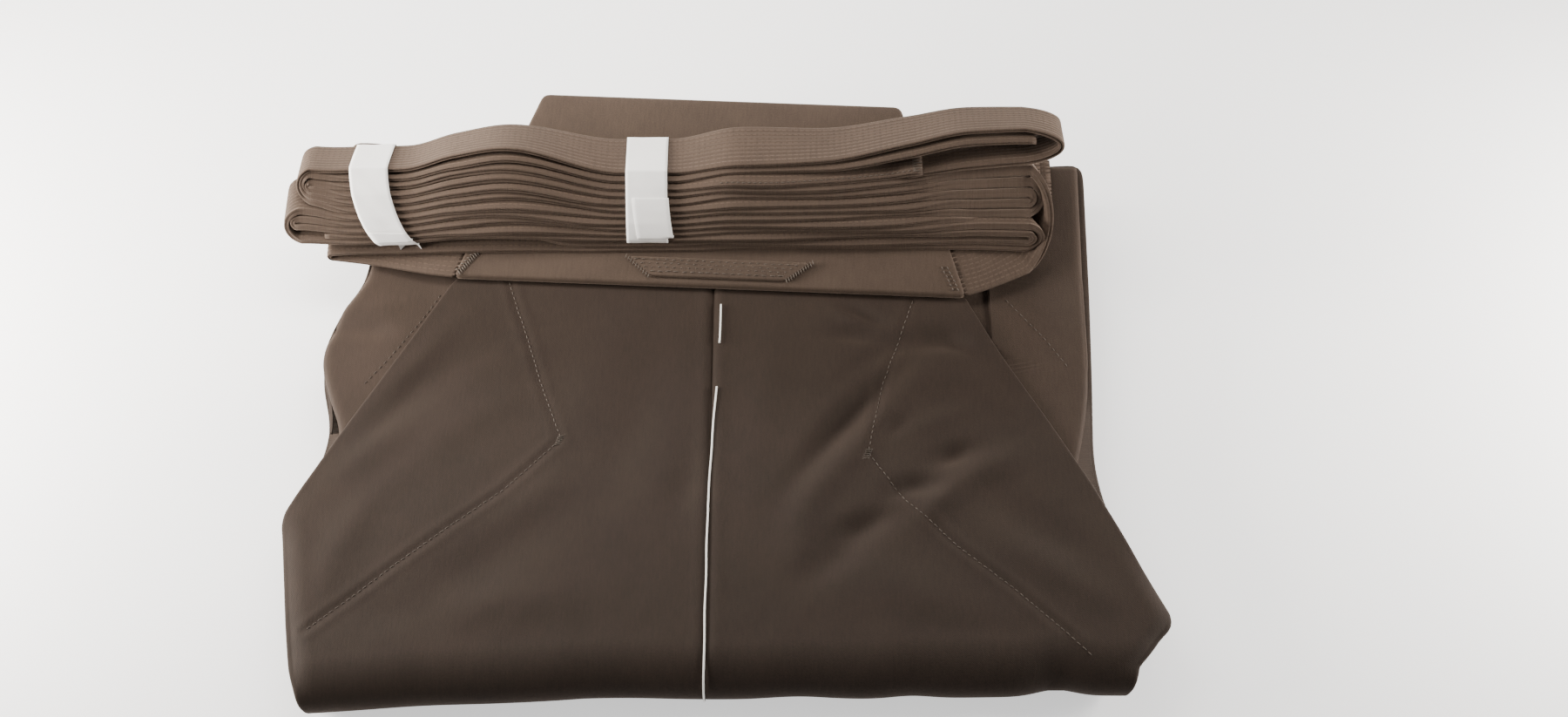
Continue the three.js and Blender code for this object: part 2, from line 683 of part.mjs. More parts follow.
const hakama = new THREE.Group();
hakama.add(
  part("folded_legs", foldedLegs(), COLOURS.cloth),
  part("front_left", frontPanel(-1), COLOURS.cloth),
  part("front_right", frontPanel(1), COLOURS.cloth),
  part("back_left", backPanel(-1), COLOURS.cloth),
  part("back_right", backPanel(1), COLOURS.cloth),
  part("front_waist_tie", waistTie(), COLOURS.tie),
  part("front_tie_left", leftFrontTie(), COLOURS.tie),
  part("front_tie_right", rightFrontTie(), COLOURS.tie),
  part("back_tie_left", leftBackTie(), COLOURS.tie),
  part("back_tie_right", rightBackTie(), COLOURS.tie),
  part("paper_band_left", paperBand(-186.5, 21, 18), COLOURS.paper, 0.6),
  part("paper_band_middle", paperBand(-36, 22.5, 0), COLOURS.paper, 0.6),
);

const board = new THREE.Group();
board.add(part("back_board", backBoard(), COLOURS.board), part("board_stay", boardStay(), COLOURS.tie));
board.position.set(BOARD.x, BOARD.y, backTop(0) + SEAM_GAP);
board.rotation.set(degToRad(BOARD.tilt), 0, degToRad(BOARD.turn), "ZXY");
hakama.add(board);

// Centres the whole on the middle of its footprint, with the table at z = 0.
const box = new THREE.Box3().setFromObject(hakama, true);
const centre = box.getCenter(new THREE.Vector3());
hakama.position.set(-centre.x, -centre.y, -box.min.z);

export default hakama;
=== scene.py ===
"""A men's divided hakama folded for the shop, back side up, with its quilted ties in a banded bundle.

Sizes are in millimetres until place() puts them in the frame. x = 0 is the centre back seam, y = 0 the
foot of the back board, y grows towards the waist and z is up from the surface it lies on.
"""
import math

import bpy
import numpy as np
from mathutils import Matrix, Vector

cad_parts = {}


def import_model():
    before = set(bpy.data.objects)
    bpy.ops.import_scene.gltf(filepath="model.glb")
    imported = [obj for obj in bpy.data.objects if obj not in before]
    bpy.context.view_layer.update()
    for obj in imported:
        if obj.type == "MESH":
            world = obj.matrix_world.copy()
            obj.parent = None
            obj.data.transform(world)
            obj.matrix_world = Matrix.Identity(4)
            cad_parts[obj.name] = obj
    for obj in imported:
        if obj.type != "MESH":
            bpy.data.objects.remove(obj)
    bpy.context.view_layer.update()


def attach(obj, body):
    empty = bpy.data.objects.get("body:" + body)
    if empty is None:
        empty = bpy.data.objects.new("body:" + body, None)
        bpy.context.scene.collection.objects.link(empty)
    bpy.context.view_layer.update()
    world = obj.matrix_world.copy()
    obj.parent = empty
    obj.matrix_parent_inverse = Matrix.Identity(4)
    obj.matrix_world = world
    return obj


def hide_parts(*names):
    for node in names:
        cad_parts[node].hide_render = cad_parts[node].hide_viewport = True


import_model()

MM = 0.001
SEAM_FOOT = (1.15, 64.92)  # where x = 0, y = 0 lies in the frame
random = np.random.default_rng(27)

# Cloth
PLY = 1.3  # a panel with its hems
PANEL_STEP = 2.35  # from one panel's face to the next one's
TIE = 2.3
TOP_TIE = 2.6
WAIST_TIE = 3.0
SEAM_GAP = 0.3

# Folded legs
NEAR_HEIGHT = 21.5
SEAT_HEIGHT = 26.5
PLEAT_START = 8
PLEAT_SLOPE = 0.12
NEAR_EDGE = -240
NEAR_CORNERS = {"from": 60, "to": 200, "left": 8, "right": -2}
WAIST_EDGE = 85
FOLD_REACH = 24  # how far back the near fold starts to turn down
LEAVES = 11
LEAF_PROFILE = [  # share of a leaf's height, inset of its edge
    (0, 3.4), (0.05, 1.9), (0.16, 0.7), (0.34, 0.12), (0.55, 0), (0.76, 0.2), (0.91, 0.9), (0.985, 2.2),
]

# Back board
BOARD = {
    "foot": 280, "head": 202, "height": 117, "thick": 5.2, "tilt": 12, "turn": -2.8, "x": -2.5, "y": -1.7,
}
STAY = [(-33, 4.0), (42, 4.0), (56, 15.5), (-46, 15.5)]  # foot left, foot right, head right, head left
STAY_THICK = 2.0
STAY_ROWS = [(13.2, 1.7, 2.4), (10.9, 1.2, 2.8), (8.6, 1.2, 2.8), (6.2, 2.6, 1.7)]  # y, stitch, gap

# Ties
FRONT_TIE_WIDTH = 25
BACK_TIE_WIDTH = 29
QUILT_ROW = 2.8
QUILT_DIP = 0.09
BANDS = {"left": -186.5, "middle": -36}
BAND_BEND = 1.8
UPPER_LOBE = 6
LOBE_LIFT = 3.6
LEFT_LOW = -225
LEFT_HIGH = -219
RIGHT_FOLDS = 172  # where the ties fold back on the right
FOLD_SKEW = 20
TOP_LEVEL = 12
SHELF_LEVEL = 10
BACK_TIE_LEVELS = (0, 3, 9, 10)
BAND_LEVEL = 2
BAND_ROOM = 1.2
WAIST_LEVEL = 4  # the tie that comes in from the waist behind the others
CLOSED = (122, 146)  # where the others close up over it
LEFT_SETTLED = -70  # where the ties that come in from the waist have reached their place
RIGHT_SETTLED = 140
PRESSED = {"right": (96, 134), "left": (192, 212)}  # where the near edges begin to lie flush, and do
FOOT_Y = 17.5
FOOT_ROLL = 12
WAIST = {"left": -186, "right": 188, "y": 59.5, "roll": 7}
TAIL_END = 105
RIGHT_BACK_TIE_END = 113
LEFT_BACK_FOLD = -209
RIGHT_FRONT_TIE_END = 174
UNDER_BOARD = 50
WAIST_FOLD = 170
WAIST_PASS = 2.15  # from one pass over the waist to the next
LOOP_START = 168
LOOP_REACH = 20
CUFF_REACH = 11.5
PARTED = 3.6

# Outlines seen from above, left and right: y, x
PILE = {
    -1: [
        (84, -192), (10, -192), (-12, -204), (-44, -213), (-92, -199), (-143, -214), (-248, -199), (-240, -60),
    ],
    1: [(85, 207), (-43, 204), (-118, 199), (-199, 226), (-238, 198), (-238, 60)],
}
PILE_ROUND = {-1: [8, 16, 14, 20, 22, 14, 14, 40], 1: [8, 40, 24, 10, 12, 40]}
BACK = {
    -1: [(10, -137), (5, -142), (-39, -164), (-98, -195), (-143, -218), (-200, -208.5), (-234, -202)],
    1: [(10, 130), (-8, 137), (-42, 153), (-123, 196), (-170, 217), (-203, 232), (-227, 211)],
}
HIP_Y = {-1: -143, 1: -170}

# Creases of the back: x, y, length, half width, angle, rise and bend (how far its ends curve)
CREASES = [
    (80, -16, 15, 4.0, -33, -2.2, 0),
    (73, -21, 12, 4.0, -40, 0.9, 0),
    (78, -31, 17, 5.5, -8, -2.6, 2),
    (74, -82, 40, 7.0, 50, -4.2, 2),
    (78, -100, 40, 8.0, 54, 1.7, 0),
    (122, -33, 34, 8.5, -4, -4.4, 13),
    (120, -58, 28, 11.0, -4, 1.6, 8),
    (127, -107, 12, 6.0, 22, -3.2, 0),
    (105, -126, 13, 6.0, 10, -2.6, 2),
    (96, -90, 9, 5.0, 40, -1.4, 0),
    (120, -86, 16, 6.0, 25, 1.0, 0),
    (128, -127, 20, 7.5, 38, 2.0, 3),
    (148, -112, 18, 8.5, 22, 1.6, 0),
    (116, -136, 16, 8.0, 50, 1.6, 0),
    (78, -150, 16, 7.0, 28, -2.6, 0),
    (66, -166, 22, 9.0, 40, -2.0, 0),
    (48, -146, 30, 9.0, 80, 1.3, 4),
    (165, -150, 34, 12.0, -40, -1.3, 0),
    (176, -176, 30, 10.0, -38, 1.3, 0),
    (130, -214, 36, 10.0, -3, -2.0, 0),
    (30, -60, 40, 12.0, 84, 0.7, 0),
    (104, -190, 34, 14.0, -30, 0.9, 0),
    (-154, -64, 48, 12.0, 41, -2.0, 4),
    (-158, -40, 30, 9.0, 44, 1.1, 0),
    (-178, -104, 30, 10.0, 36, 1.3, 0),
    (-130, -88, 40, 12.0, 38, 1.2, 5),
    (-13, -126, 22, 9.0, 82, -1.2, 0),
    (-115, -172, 34, 14.0, 34, -1.3, 0),
    (-94, -136, 30, 12.0, 40, 1.0, 0),
    (-99, -196, 34, 13.0, 14, 1.1, 0),
    (-150, -206, 36, 12.0, -14, -0.9, 0),
    (-186, -160, 32, 9.0, 70, 1.0, 3),
    (-62, -60, 44, 14.0, 70, 0.8, 0),
    (-40, -90, 40, 12.0, 72, -0.7, 0),
    (-56, -218, 40, 10.0, 4, -1.0, 0),
]
NEAR_WAVES = [(46, 20, 1.6), (101, 13, 1.4), (172, 13, 3.6), (-140, 30, 1.0), (-40, 26, 0.8)]

# Lines of stitching, left and right: x, y
SEAT_LINES = {
    -1: [
        [(-111.8, 4), (-106.8, -12.6), (-101, -28.9), (-89.3, -66.8), (-78, -98)],
        [(-78.3, -98.6), (-106.1, -129.4), (-131.2, -150.1), (-155.7, -171.4), (-178.3, -192.2), (-198, -210)],
    ],
    1: [
        [(108.4, -8.5), (99.1, -36.4), (90.5, -62.9), (83.7, -97.5), (82.2, -106.6)],
        [(82.2, -106.6), (100.7, -134.6), (126.3, -162.3), (154.3, -187.3), (179.8, -213.1), (190, -222)],
    ],
}
HIP_LINES = {
    -1: [(-149.3, -2.7), (-159.3, -23.1), (-171.4, -43.2), (-185.6, -62.9)],
    1: [(159.2, -5.6), (168, -17.3), (178.8, -31.8), (190.5, -51.7)],
}
BASTING = [
    [(4.2, -12), (3.7, -37.5)],
    [(2.6, -65.7), (0.9, -95.9), (-0.6, -138.2), (-0.9, -198.6), (-0.9, -262)],
]
RIGHT_FRONT_EDGE = 151

# Sides of the garment
SIDES = {-1: "left", 1: "right"}

# The bundle along its length
BUNDLE = {
    "x": [-235, -202, -168, -140, -112, -50, -22, 14, 60, 105, 138, 190],
    "top_y": [45, 44.5, 44.5, 46, 47, 42, 42, 40, 42, 49, 55, 58],
    "top_z": [79.5, 76.5, 77.5, 86.5, 91.5, 77.5, 77.5, 86, 87, 92.5, 96, 95],
    "top_roll": [-18, -18, -18, -18, -17, -2, -1, 7, -3, -11, -16, -20],
    "shelf_z": [72.3, 70.3, 71.3, 79, 83.5, 71.7, 71.7, 79, 78.5, 79, 81, 83],
    "foot_z": [37.2, 38.2, 39.2, 40.6, 41.3, 41.8, 42, 42.4, 43, 43.6, 43.8, 41.4],
}


# Curves and small mathematics


def smooth(value, low, high):
    share = np.clip((np.asarray(value, float) - low) / (high - low), 0, 1)
    return share * share * (3 - 2 * share)


def mix(a, b, share):
    return a + (b - a) * share


def flowing(places, values):
    """A smooth curve through values at growing places, that adds no peak of its own."""
    places, values = np.asarray(places, float), np.asarray(values, float)
    step = np.diff(places)
    slope = np.diff(values) / step
    tangent = np.zeros_like(values)
    for i in range(1, len(values) - 1):
        before, after = slope[i - 1], slope[i]
        if before * after > 0:
            weight_before = 2 * step[i] + step[i - 1]
            weight_after = step[i] + 2 * step[i - 1]
            tangent[i] = (weight_before + weight_after) / (weight_before / before + weight_after / after)

    def at(x):
        x = np.clip(np.asarray(x, float), places[0], places[-1])
        i = np.clip(np.searchsorted(places, x, side="right") - 1, 0, len(step) - 1)
        s = (x - places[i]) / step[i]
        start = values[i] * (1 + 2 * s) + tangent[i] * step[i] * s
        end = values[i + 1] * (3 - 2 * s) - tangent[i + 1] * step[i] * (1 - s)
        return start * (1 - s) ** 2 + end * s * s

    return at


bundle_curve = {name: flowing(BUNDLE["x"], BUNDLE[name]) for name in BUNDLE if name != "x"}


def lengths_along(points):
    """How far along a line each of its points lies."""
    return np.concatenate([[0], np.cumsum(np.linalg.norm(np.diff(points, axis=0), axis=1))])


def evenly(points, count):
    """A number of points at even distances along a line through the given ones."""
    along = lengths_along(points)
    places = np.linspace(0, along[-1], count)
    return np.stack([np.interp(places, along, column) for column in points.T], axis=1)


def resampled(points, spacing):
    points = np.asarray(points, float)
    return evenly(points, max(2, int(round(lengths_along(points)[-1] / spacing)) + 1))


def unit(vectors):
    return vectors / np.maximum(np.linalg.norm(vectors, axis=-1, keepdims=True), 1e-9)


# Meshes


def place(points):
    moved = np.array(points, float)
    moved[..., 0] += SEAM_FOOT[0]
    moved[..., 1] += SEAM_FOOT[1]
    return moved * MM


def new_piece(name, points, quads, material, nodes=(), triangles=(), weave=None):
    """A mesh piece that rides on the root body, and stands for the given nodes."""
    mesh = bpy.data.meshes.new(name)
    faces = [np.asarray(quads).reshape(-1, 4), np.asarray(triangles, int).reshape(-1, 3)]
    mesh.from_pydata(place(points).reshape(-1, 3).tolist(), [], faces[0].tolist() + faces[1].tolist())
    mesh.polygons.foreach_set("use_smooth", [True] * len(mesh.polygons))
    if weave is not None:
        layer = mesh.attributes.new("weave", "FLOAT_VECTOR", "POINT")
        layer.data.foreach_set("vector", (np.asarray(weave, float) * MM).ravel())
    mesh.validate()
    mesh.update()
    mesh.calc_loop_triangles()
    corners = np.empty(len(mesh.loop_triangles) * 3, int)
    mesh.loop_triangles.foreach_get("vertices", corners)
    spots = np.empty(len(mesh.vertices) * 3)
    mesh.vertices.foreach_get("co", spots)
    a, b, c = spots.reshape(-1, 3)[corners.reshape(-1, 3)].transpose(1, 0, 2)
    if (a * np.cross(b, c)).sum() < 0:
        mesh.flip_normals()
    mesh.materials.append(material)
    piece = bpy.data.objects.new(name, mesh)
    bpy.context.scene.collection.objects.link(piece)
    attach(piece, "root")
    if nodes:
        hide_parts(*nodes)
    return piece


def grid_quads(rows, columns, start=0, wrap=False):
    r = np.arange(rows - 1)[:, None]
    c = np.arange(columns if wrap else columns - 1)[None, :]
    after = (c + 1) % columns
    corners = [r * columns + c, r * columns + after, (r + 1) * columns + after, (r + 1) * columns + c]
    corners = [np.broadcast_to(corner, (rows - 1, c.shape[1])) for corner in corners]
    return np.stack(corners, axis=-1).reshape(-1, 4) + start


def grid_normals(grid):
    along, across = np.gradient(grid, axis=0), np.gradient(grid, axis=1)
    return unit(np.cross(across, along))


def edge_loop(grid):
    """The border of a grid, once round, as indices."""
    rows, columns = grid
    index = np.arange(rows * columns).reshape(rows, columns)
    return np.concatenate([index[0, :-1], index[:-1, -1], index[-1, :0:-1], index[:0:-1, 0]])


def cloth_wall(face, thickness):
    """A closed wall of cloth under a grid of points, with rounded edges."""
    rows, columns = face.shape[:2]
    normals = grid_normals(face)
    if normals[rows // 3, columns // 2, 2] < 0:
        normals = -normals
    back = face - normals * thickness
    count = rows * columns
    loop = edge_loop((rows, columns))
    middle = face.reshape(-1, 3).mean(0)
    rim_face, rim_back = face.reshape(-1, 3)[loop], back.reshape(-1, 3)[loop]
    tangent = unit(np.roll(rim_face, -1, 0) - np.roll(rim_face, 1, 0))
    outward = unit(np.cross(tangent, normals.reshape(-1, 3)[loop]))
    outward *= np.sign(((rim_face - middle) * outward).sum())
    rim = (rim_face + rim_back) / 2 + outward * thickness * 0.4
    points = np.concatenate([face.reshape(-1, 3), back.reshape(-1, 3), rim])
    around = np.roll(loop, -1)
    edge = np.arange(len(loop)) + 2 * count
    after = np.roll(edge, -1)
    quads = np.concatenate(
        [
            grid_quads(rows, columns),
            grid_quads(rows, columns, count)[:, ::-1],
            np.stack([loop, edge, after, around], axis=1),
            np.stack([edge, loop + count, around + count, after], axis=1),
        ]
    )
    return points, quads


def cloth_piece(name, face, thickness, flat_x, flat_y, material, nodes=()):
    """A wall of cloth under a grid of points, whose threads run as they do in the flat cloth."""
    points, quads = cloth_wall(face, thickness)
    flat = np.stack([flat_x, flat_y, np.zeros_like(flat_x)], axis=-1).reshape(-1, 3)
    weave = np.concatenate([flat, flat, flat[edge_loop(face.shape[:2])]])
    return new_piece(name, points, quads, material, nodes, weave=weave)


def skin(rings):
    """A closed skin through equal rings, with a fan at each end."""
    rings = np.asarray(rings, float)
    rows, columns = rings.shape[:2]
    points = np.concatenate([rings.reshape(-1, 3), rings[[0, -1]].mean(1)])
    here = np.arange(columns)
    after = np.roll(here, -1)
    last = (rows - 1) * columns
    hubs = rows * columns
    fans = [
        np.stack([np.full(columns, hubs), after, here], axis=1),
        np.stack([np.full(columns, hubs + 1), here + last, after + last], axis=1),
    ]
    return points, grid_quads(rows, columns, wrap=True), np.concatenate(fans)


def joined(skins):
    """Several skins as one: their points, quads and fans."""
    starts = np.cumsum([0] + [len(points) for points, _, _ in skins])
    quads = [quads + start for (_, quads, _), start in zip(skins, starts)]
    fans = [fans + start for (_, _, fans), start in zip(skins, starts)]
    return np.concatenate([points for points, _, _ in skins]), np.concatenate(quads), np.concatenate(fans)


# Materials


def node_tree(name):
    material = bpy.data.materials.new(name)
    material.use_nodes = True
    tree = material.node_tree
    return material, tree, tree.nodes["Principled BSDF"]


def add(tree, kind, inputs=None, **settings):
    node = tree.nodes.new(kind)
    for key, value in settings.items():
        setattr(node, key, value)
    for key, value in (inputs or {}).items():
        if isinstance(value, bpy.types.NodeSocket):
            tree.links.new(value, node.inputs[key])
        else:
            node.inputs[key].default_value = value
    return node


def maths(tree, operation, *values):
    return add(tree, "ShaderNodeMath", dict(enumerate(values)), operation=operation).outputs[0]


def noise(tree, vector, scale, detail=3.0, roughness=0.55):
    inputs = {"Vector": vector, "Scale": scale, "Detail": detail, "Roughness": roughness}
    return add(tree, "ShaderNodeTexNoise", inputs).outputs["Fac"]


def weighted(tree, *terms):
    """The sum of values, each times its weight."""
    terms = [maths(tree, "MULTIPLY", value, weight) for value, weight in terms]
    total = terms[0]
    for term in terms[1:]:
        total = maths(tree, "ADD", total, term)
    return total


def roughen(tree, shader, height, strength, distance):
    bump = add(tree, "ShaderNodeBump", {"Height": height, "Strength": strength, "Distance": distance})
    tree.links.new(bump.outputs["Normal"], shader.inputs["Normal"])


def shade(tree, factor, dark, light):
    """A colour between two, by a factor."""
    ramp = add(tree, "ShaderNodeValToRGB", {"Fac": factor})
    ramp.color_ramp.elements[0].position = 0.25
    ramp.color_ramp.elements[0].color = (*dark, 1)
    ramp.color_ramp.elements[1].position = 0.75
    ramp.color_ramp.elements[1].color = (*light, 1)
    return ramp.outputs["Color"]


def cloth_material(name, dark, light, quilted=False, sheen=0.35):
    """Fine twill: a diagonal rib, uneven threads and a soft sheen. A quilted one has rows of stitches."""
    material, tree, shader = node_tree(name)
    weave = add(tree, "ShaderNodeAttribute", attribute_name="weave").outputs["Vector"]
    split = add(tree, "ShaderNodeSeparateXYZ", {"Vector": weave})
    x, y = split.outputs["X"], split.outputs["Y"]
    rib = maths(tree, "SINE", maths(tree, "MULTIPLY", maths(tree, "ADD", x, y), 2 * math.pi / 0.0009))
    threads = noise(tree, weave, 1400, 2)
    drawn_out = add(tree, "ShaderNodeMapping", {"Vector": weave, "Scale": (1, 0.16, 1)}).outputs[0]
    slubs = noise(tree, drawn_out, 700, 2)
    patches = noise(tree, weave, 26, 3)
    height = weighted(tree, (rib, 0.16), (threads, 1.0), (slubs, 0.7))
    tone = weighted(tree, (threads, 0.45), (slubs, 0.25), (patches, 0.3))
    if quilted:
        across = maths(tree, "FRACT", maths(tree, "DIVIDE", y, QUILT_ROW * MM))
        from_middle = maths(tree, "ABSOLUTE", maths(tree, "SUBTRACT", across, 0.5))
        row = maths(tree, "GREATER_THAN", from_middle, 0.4)
        dash = maths(tree, "LESS_THAN", maths(tree, "FRACT", maths(tree, "DIVIDE", x, 0.0032)), 0.62)
        stitch = maths(tree, "MULTIPLY", row, dash)
        height = maths(tree, "ADD", height, maths(tree, "MULTIPLY", stitch, 0.9))
        tone = maths(tree, "ADD", tone, maths(tree, "MULTIPLY", stitch, 0.22))
    tree.links.new(shade(tree, tone, dark, light), shader.inputs["Base Color"])
    roughen(tree, shader, height, 0.55, 0.00022)
    shader.inputs["Roughness"].default_value = 0.78
    shader.inputs["Specular IOR Level"].default_value = 0.24
    shader.inputs["Sheen Weight"].default_value = sheen
    shader.inputs["Sheen Roughness"].default_value = 0.45
    shader.inputs["Sheen Tint"].default_value = (0.8, 0.62, 0.5, 1)
    return material


def plain_material(name, grains, dark, light, roughness, bump=None):
    """A colour between two, by grains of noise: scale, detail, weight. A bump has strength and distance."""
    material, tree, shader = node_tree(name)
    where = add(tree, "ShaderNodeTexCoord").outputs["Object"]
    tone = weighted(tree, *[(noise(tree, where, scale, detail), weight) for scale, detail, weight in grains])
    tree.links.new(shade(tree, tone, dark, light), shader.inputs["Base Color"])
    if bump:
        roughen(tree, shader, tone, *bump)
    shader.inputs["Roughness"].default_value = roughness
    return material, shader


def thread_material(name, dark, light):
    return plain_material(name, [(2400, 2, 1)], dark, light, 0.6, (0.5, 0.0001))[0]


def floor_material():
    material, shader = plain_material("pale_floor", [(3, 3, 1)], (0.9, 0.9, 0.9), (0.93, 0.93, 0.93), 0.9)
    shader.inputs["Emission Color"].default_value = (1, 1, 1, 1)
    shader.inputs["Emission Strength"].default_value = 0.85
    return material


# The brown twill's own colour, set darker than the other copies of the same cloth so that it also carries
# painted shade over the folded back and legs.
BODY_CLOTH_PAINTED_SHADE = cloth_material("brown_twill_painted_shade", (0.0138, 0.0083, 0.0053), (0.0335, 0.0206, 0.0137), sheen=0.1)
# The same brown twill painted lighter for the quilted ties: painted light for the well lit bundle.
TIE_CLOTH_PAINTED_LIGHT = cloth_material(
    "quilted_twill_painted_light", (0.034, 0.0222, 0.0154), (0.090, 0.0605, 0.0435), quilted=True, sheen=0.28
)
# The same brown twill painted lighter for the board cover: painted light for the brightly lit board.
BOARD_CLOTH_PAINTED_LIGHT = cloth_material("board_twill_painted_light", (0.0325, 0.0212, 0.0147), (0.078, 0.0525, 0.0370), sheen=0.3)
# The same brown twill painted lighter for the fronts: painted light on the sides of the pile that face the
# lamps.
FRONT_CLOTH_PAINTED_LIGHT = cloth_material("front_twill_painted_light", (0.021, 0.0132, 0.0090), (0.050, 0.0320, 0.0222), sheen=0.2)
THREAD = thread_material("brown_thread", (0.034, 0.025, 0.018), (0.105, 0.080, 0.060))
WHITE_THREAD = thread_material("white_thread", (0.6, 0.59, 0.56), (0.9, 0.89, 0.85))
PAPER_GRAINS = [(900, 4, 0.4), (60, 3, 0.6)]
PAPER, _ = plain_material(
    "white_paper", PAPER_GRAINS, (0.88, 0.87, 0.845), (0.95, 0.94, 0.92), 0.62, (0.35, 0.0003)
)


# Surfaces of the folded garment


def pile_height(y):
    y = np.asarray(y, float)
    rising = SEAT_HEIGHT + PLEAT_SLOPE * (y - PLEAT_START)
    return np.where(y > PLEAT_START, rising, mix(SEAT_HEIGHT, NEAR_HEIGHT, np.clip(y / NEAR_EDGE, 0, 1)))


def front_top(y):
    return pile_height(y) + PANEL_STEP


def back_top(y):
    return front_top(y) + PANEL_STEP


def near_edge(x):
    x = np.asarray(x, float)
    corner = np.clip((np.abs(x) - NEAR_CORNERS["from"]) / (NEAR_CORNERS["to"] - NEAR_CORNERS["from"]), 0, 1)
    edge = NEAR_EDGE - np.where(x < 0, NEAR_CORNERS["left"], NEAR_CORNERS["right"]) * corner
    for place_x, width, back in NEAR_WAVES:
        edge = edge + back * np.exp(-(((x - place_x) / width) ** 2))
    return edge


def outline_at(rows, y, rounding=5.0):
    """Where a side edge lies at y, with its corners eased."""
    rows = sorted(rows)
    places, values = np.array(rows).T
    steps = np.linspace(-rounding, rounding, 7)
    return np.mean([np.interp(np.asarray(y, float) + s, places, values) for s in steps], axis=0)


def crease(x, y):
    total = np.zeros(np.broadcast(x, y).shape)
    for cx, cy, length, width, angle, rise, bend in CREASES:
        turn = math.radians(angle)
        along = ((x - cx) * math.cos(turn) + (y - cy) * math.sin(turn)) / length
        across = (y - cy) * math.cos(turn) - (x - cx) * math.sin(turn) + bend * along**2
        total = total + rise * np.exp(-(along**2) - (across / width) ** 2)
    return total


def line_distance(x, y, line):
    """The distance from points to a line of straight stretches."""
    best = np.full(np.broadcast(x, y).shape, 1e9)
    for (ax, ay), (bx, by) in zip(line[:-1], line[1:]):
        dx, dy = bx - ax, by - ay
        share = np.clip(((x - ax) * dx + (y - ay) * dy) / (dx * dx + dy * dy), 0, 1)
        best = np.minimum(best, np.hypot(x - ax - share * dx, y - ay - share * dy))
    return best


def min_distance(x, y, lines):
    return np.min([line_distance(x, y, line) for line in lines], axis=0)


def ripple(x, y):
    """The small unevenness of cloth that lies on many folds."""
    broad = np.sin(x / 23 + 1.3 * np.sin(y / 31)) * np.sin(y / 27 + 0.9 * np.sin(x / 37))
    fine = np.sin(x / 7.1 + 2 * np.sin(y / 13)) * np.sin(y / 8.3 + 1.7 * np.sin(x / 11))
    return 0.26 * broad + 0.07 * fine


def board_foot(x):
    return BOARD["y"] + (x - BOARD["x"]) * math.tan(math.radians(BOARD["turn"]))


def back_reach(side, along, angle):
    return outline_at(BACK[side], along) - side * 12 * np.sin(angle / 2) ** 2


def back_point(side, x, along):
    """A point of a back panel's face: along is y, until the near fold turns it under."""
    x, along = np.broadcast_arrays(np.asarray(x, float), np.asarray(along, float))
    radius = back_top(NEAR_EDGE) / 2
    start = near_edge(x) + FOLD_REACH
    angle = np.maximum(0, start - along) / ((radius + FOLD_REACH) / 2)
    y = np.maximum(along, start)
    reach = back_reach(side, np.maximum(along, near_edge(side * 200.0) + 13), angle)
    from_edge = np.abs(reach - x)
    droop = 3.0 * smooth(HIP_Y[side] + 20 - y, 0, 40) * np.clip(1 - from_edge / 11, 0, 1) ** 2
    lying = smooth(from_edge, 0, 22) * smooth(-y, 4, 20) * smooth(y - start, -6, 30)
    stitched = min_distance(x, y, SEAT_LINES[side])
    puckers = 0.75 + 0.25 * np.sin(x / 1.9 + y / 1.6)
    relief = crease(x, y) * lying + ripple(x, y) * smooth(-y, 0, 12)
    relief = relief - 0.36 * puckers * np.exp(-((stitched / 1.7) ** 2))
    relief = relief + 0.22 * np.exp(-(((stitched - 4) / 2) ** 2))
    relief = relief - 0.9 * np.exp(-((x / 1.5) ** 2)) + 0.3 * np.exp(-(((np.abs(x) - 5) / 3) ** 2))
    turned = angle > 0
    fade = np.cos(np.minimum(angle, math.pi / 2))
    flat_z = back_top(y) + relief - droop
    depth = flat_z - radius
    bulge = np.where(turned, mix(radius, depth, fade**2), depth)
    z = radius + bulge * np.cos(angle)
    return np.stack([x, y - FOLD_REACH * np.sin(angle), z], axis=-1)


def back_panel(side):
    name = "back_" + SIDES[side]
    columns, rows = 126, 196
    radius = back_top(NEAR_EDGE) / 2
    lowest = math.radians(160) * (radius + FOLD_REACH) / 2
    share = np.linspace(0, 1, rows)[:, None]
    across = np.linspace(0, 1, columns)[None, :]
    across = mix(across, np.sin(across * math.pi / 2), 0.25)
    top = board_foot(side * 140) + 1.2
    bottom = near_edge(side * 100.0) + FOLD_REACH - lowest
    along_side = mix(top, bottom, share)
    angle = np.maximum(0, near_edge(side * 100.0) + FOLD_REACH - along_side) / ((radius + FOLD_REACH) / 2)
    reach = back_reach(side, np.maximum(along_side, near_edge(side * 200.0) + 13), angle)
    x = mix(side * SEAM_GAP / 2, reach, across)
    start = board_foot(x) + 1.2
    end = near_edge(x) + FOLD_REACH - lowest
    along = mix(start, end, share)
    return cloth_piece(name + "_cloth", back_point(side, x, along), PLY, x, along, BODY_CLOTH_PAINTED_SHADE, [name])


def pleats(x, y):
    """Knife pleats of the front, sharpest at the waist."""
    places = np.array([-150, -108, -66, -22, 30, 74, 118, 160])
    drop = np.zeros(np.broadcast(x, y).shape)
    for i, fold in enumerate(places):
        lean = fold + (0.05 if i % 2 else -0.04) * (WAIST_EDGE - y)
        drop = drop + np.where(x > lean, np.exp(-(x - lean) / 9), 0) * 0.9
    return -drop * smooth(y, 18, 40)


def sunk(x, y):
    """How far the layer below the back gives way under its deepest creases."""
    return np.minimum(0, crease(x, y) + 0.7) * smooth(-y, 0, 10)


def front_point(side, x, y):
    slack = 0.8 * np.sin(y / 17 + x / 29) * np.sin(x / 21)
    if side < 0:
        slack = slack - 1.3 * np.exp(-(((y + 27 + (x + 180) * 0.05) / 5.5) ** 2)) * smooth(-x, 168, 186)
        slack = slack + 1.0 * np.exp(-(((y + 13) / 6) ** 2)) * smooth(-x, 160, 182)
    hip = smooth(np.abs(x), 140, 156) * smooth(-y, -30, -8)
    return np.stack([x, y, front_top(y) + slack * hip + sunk(x, y) + pleats(x, y)], axis=-1)


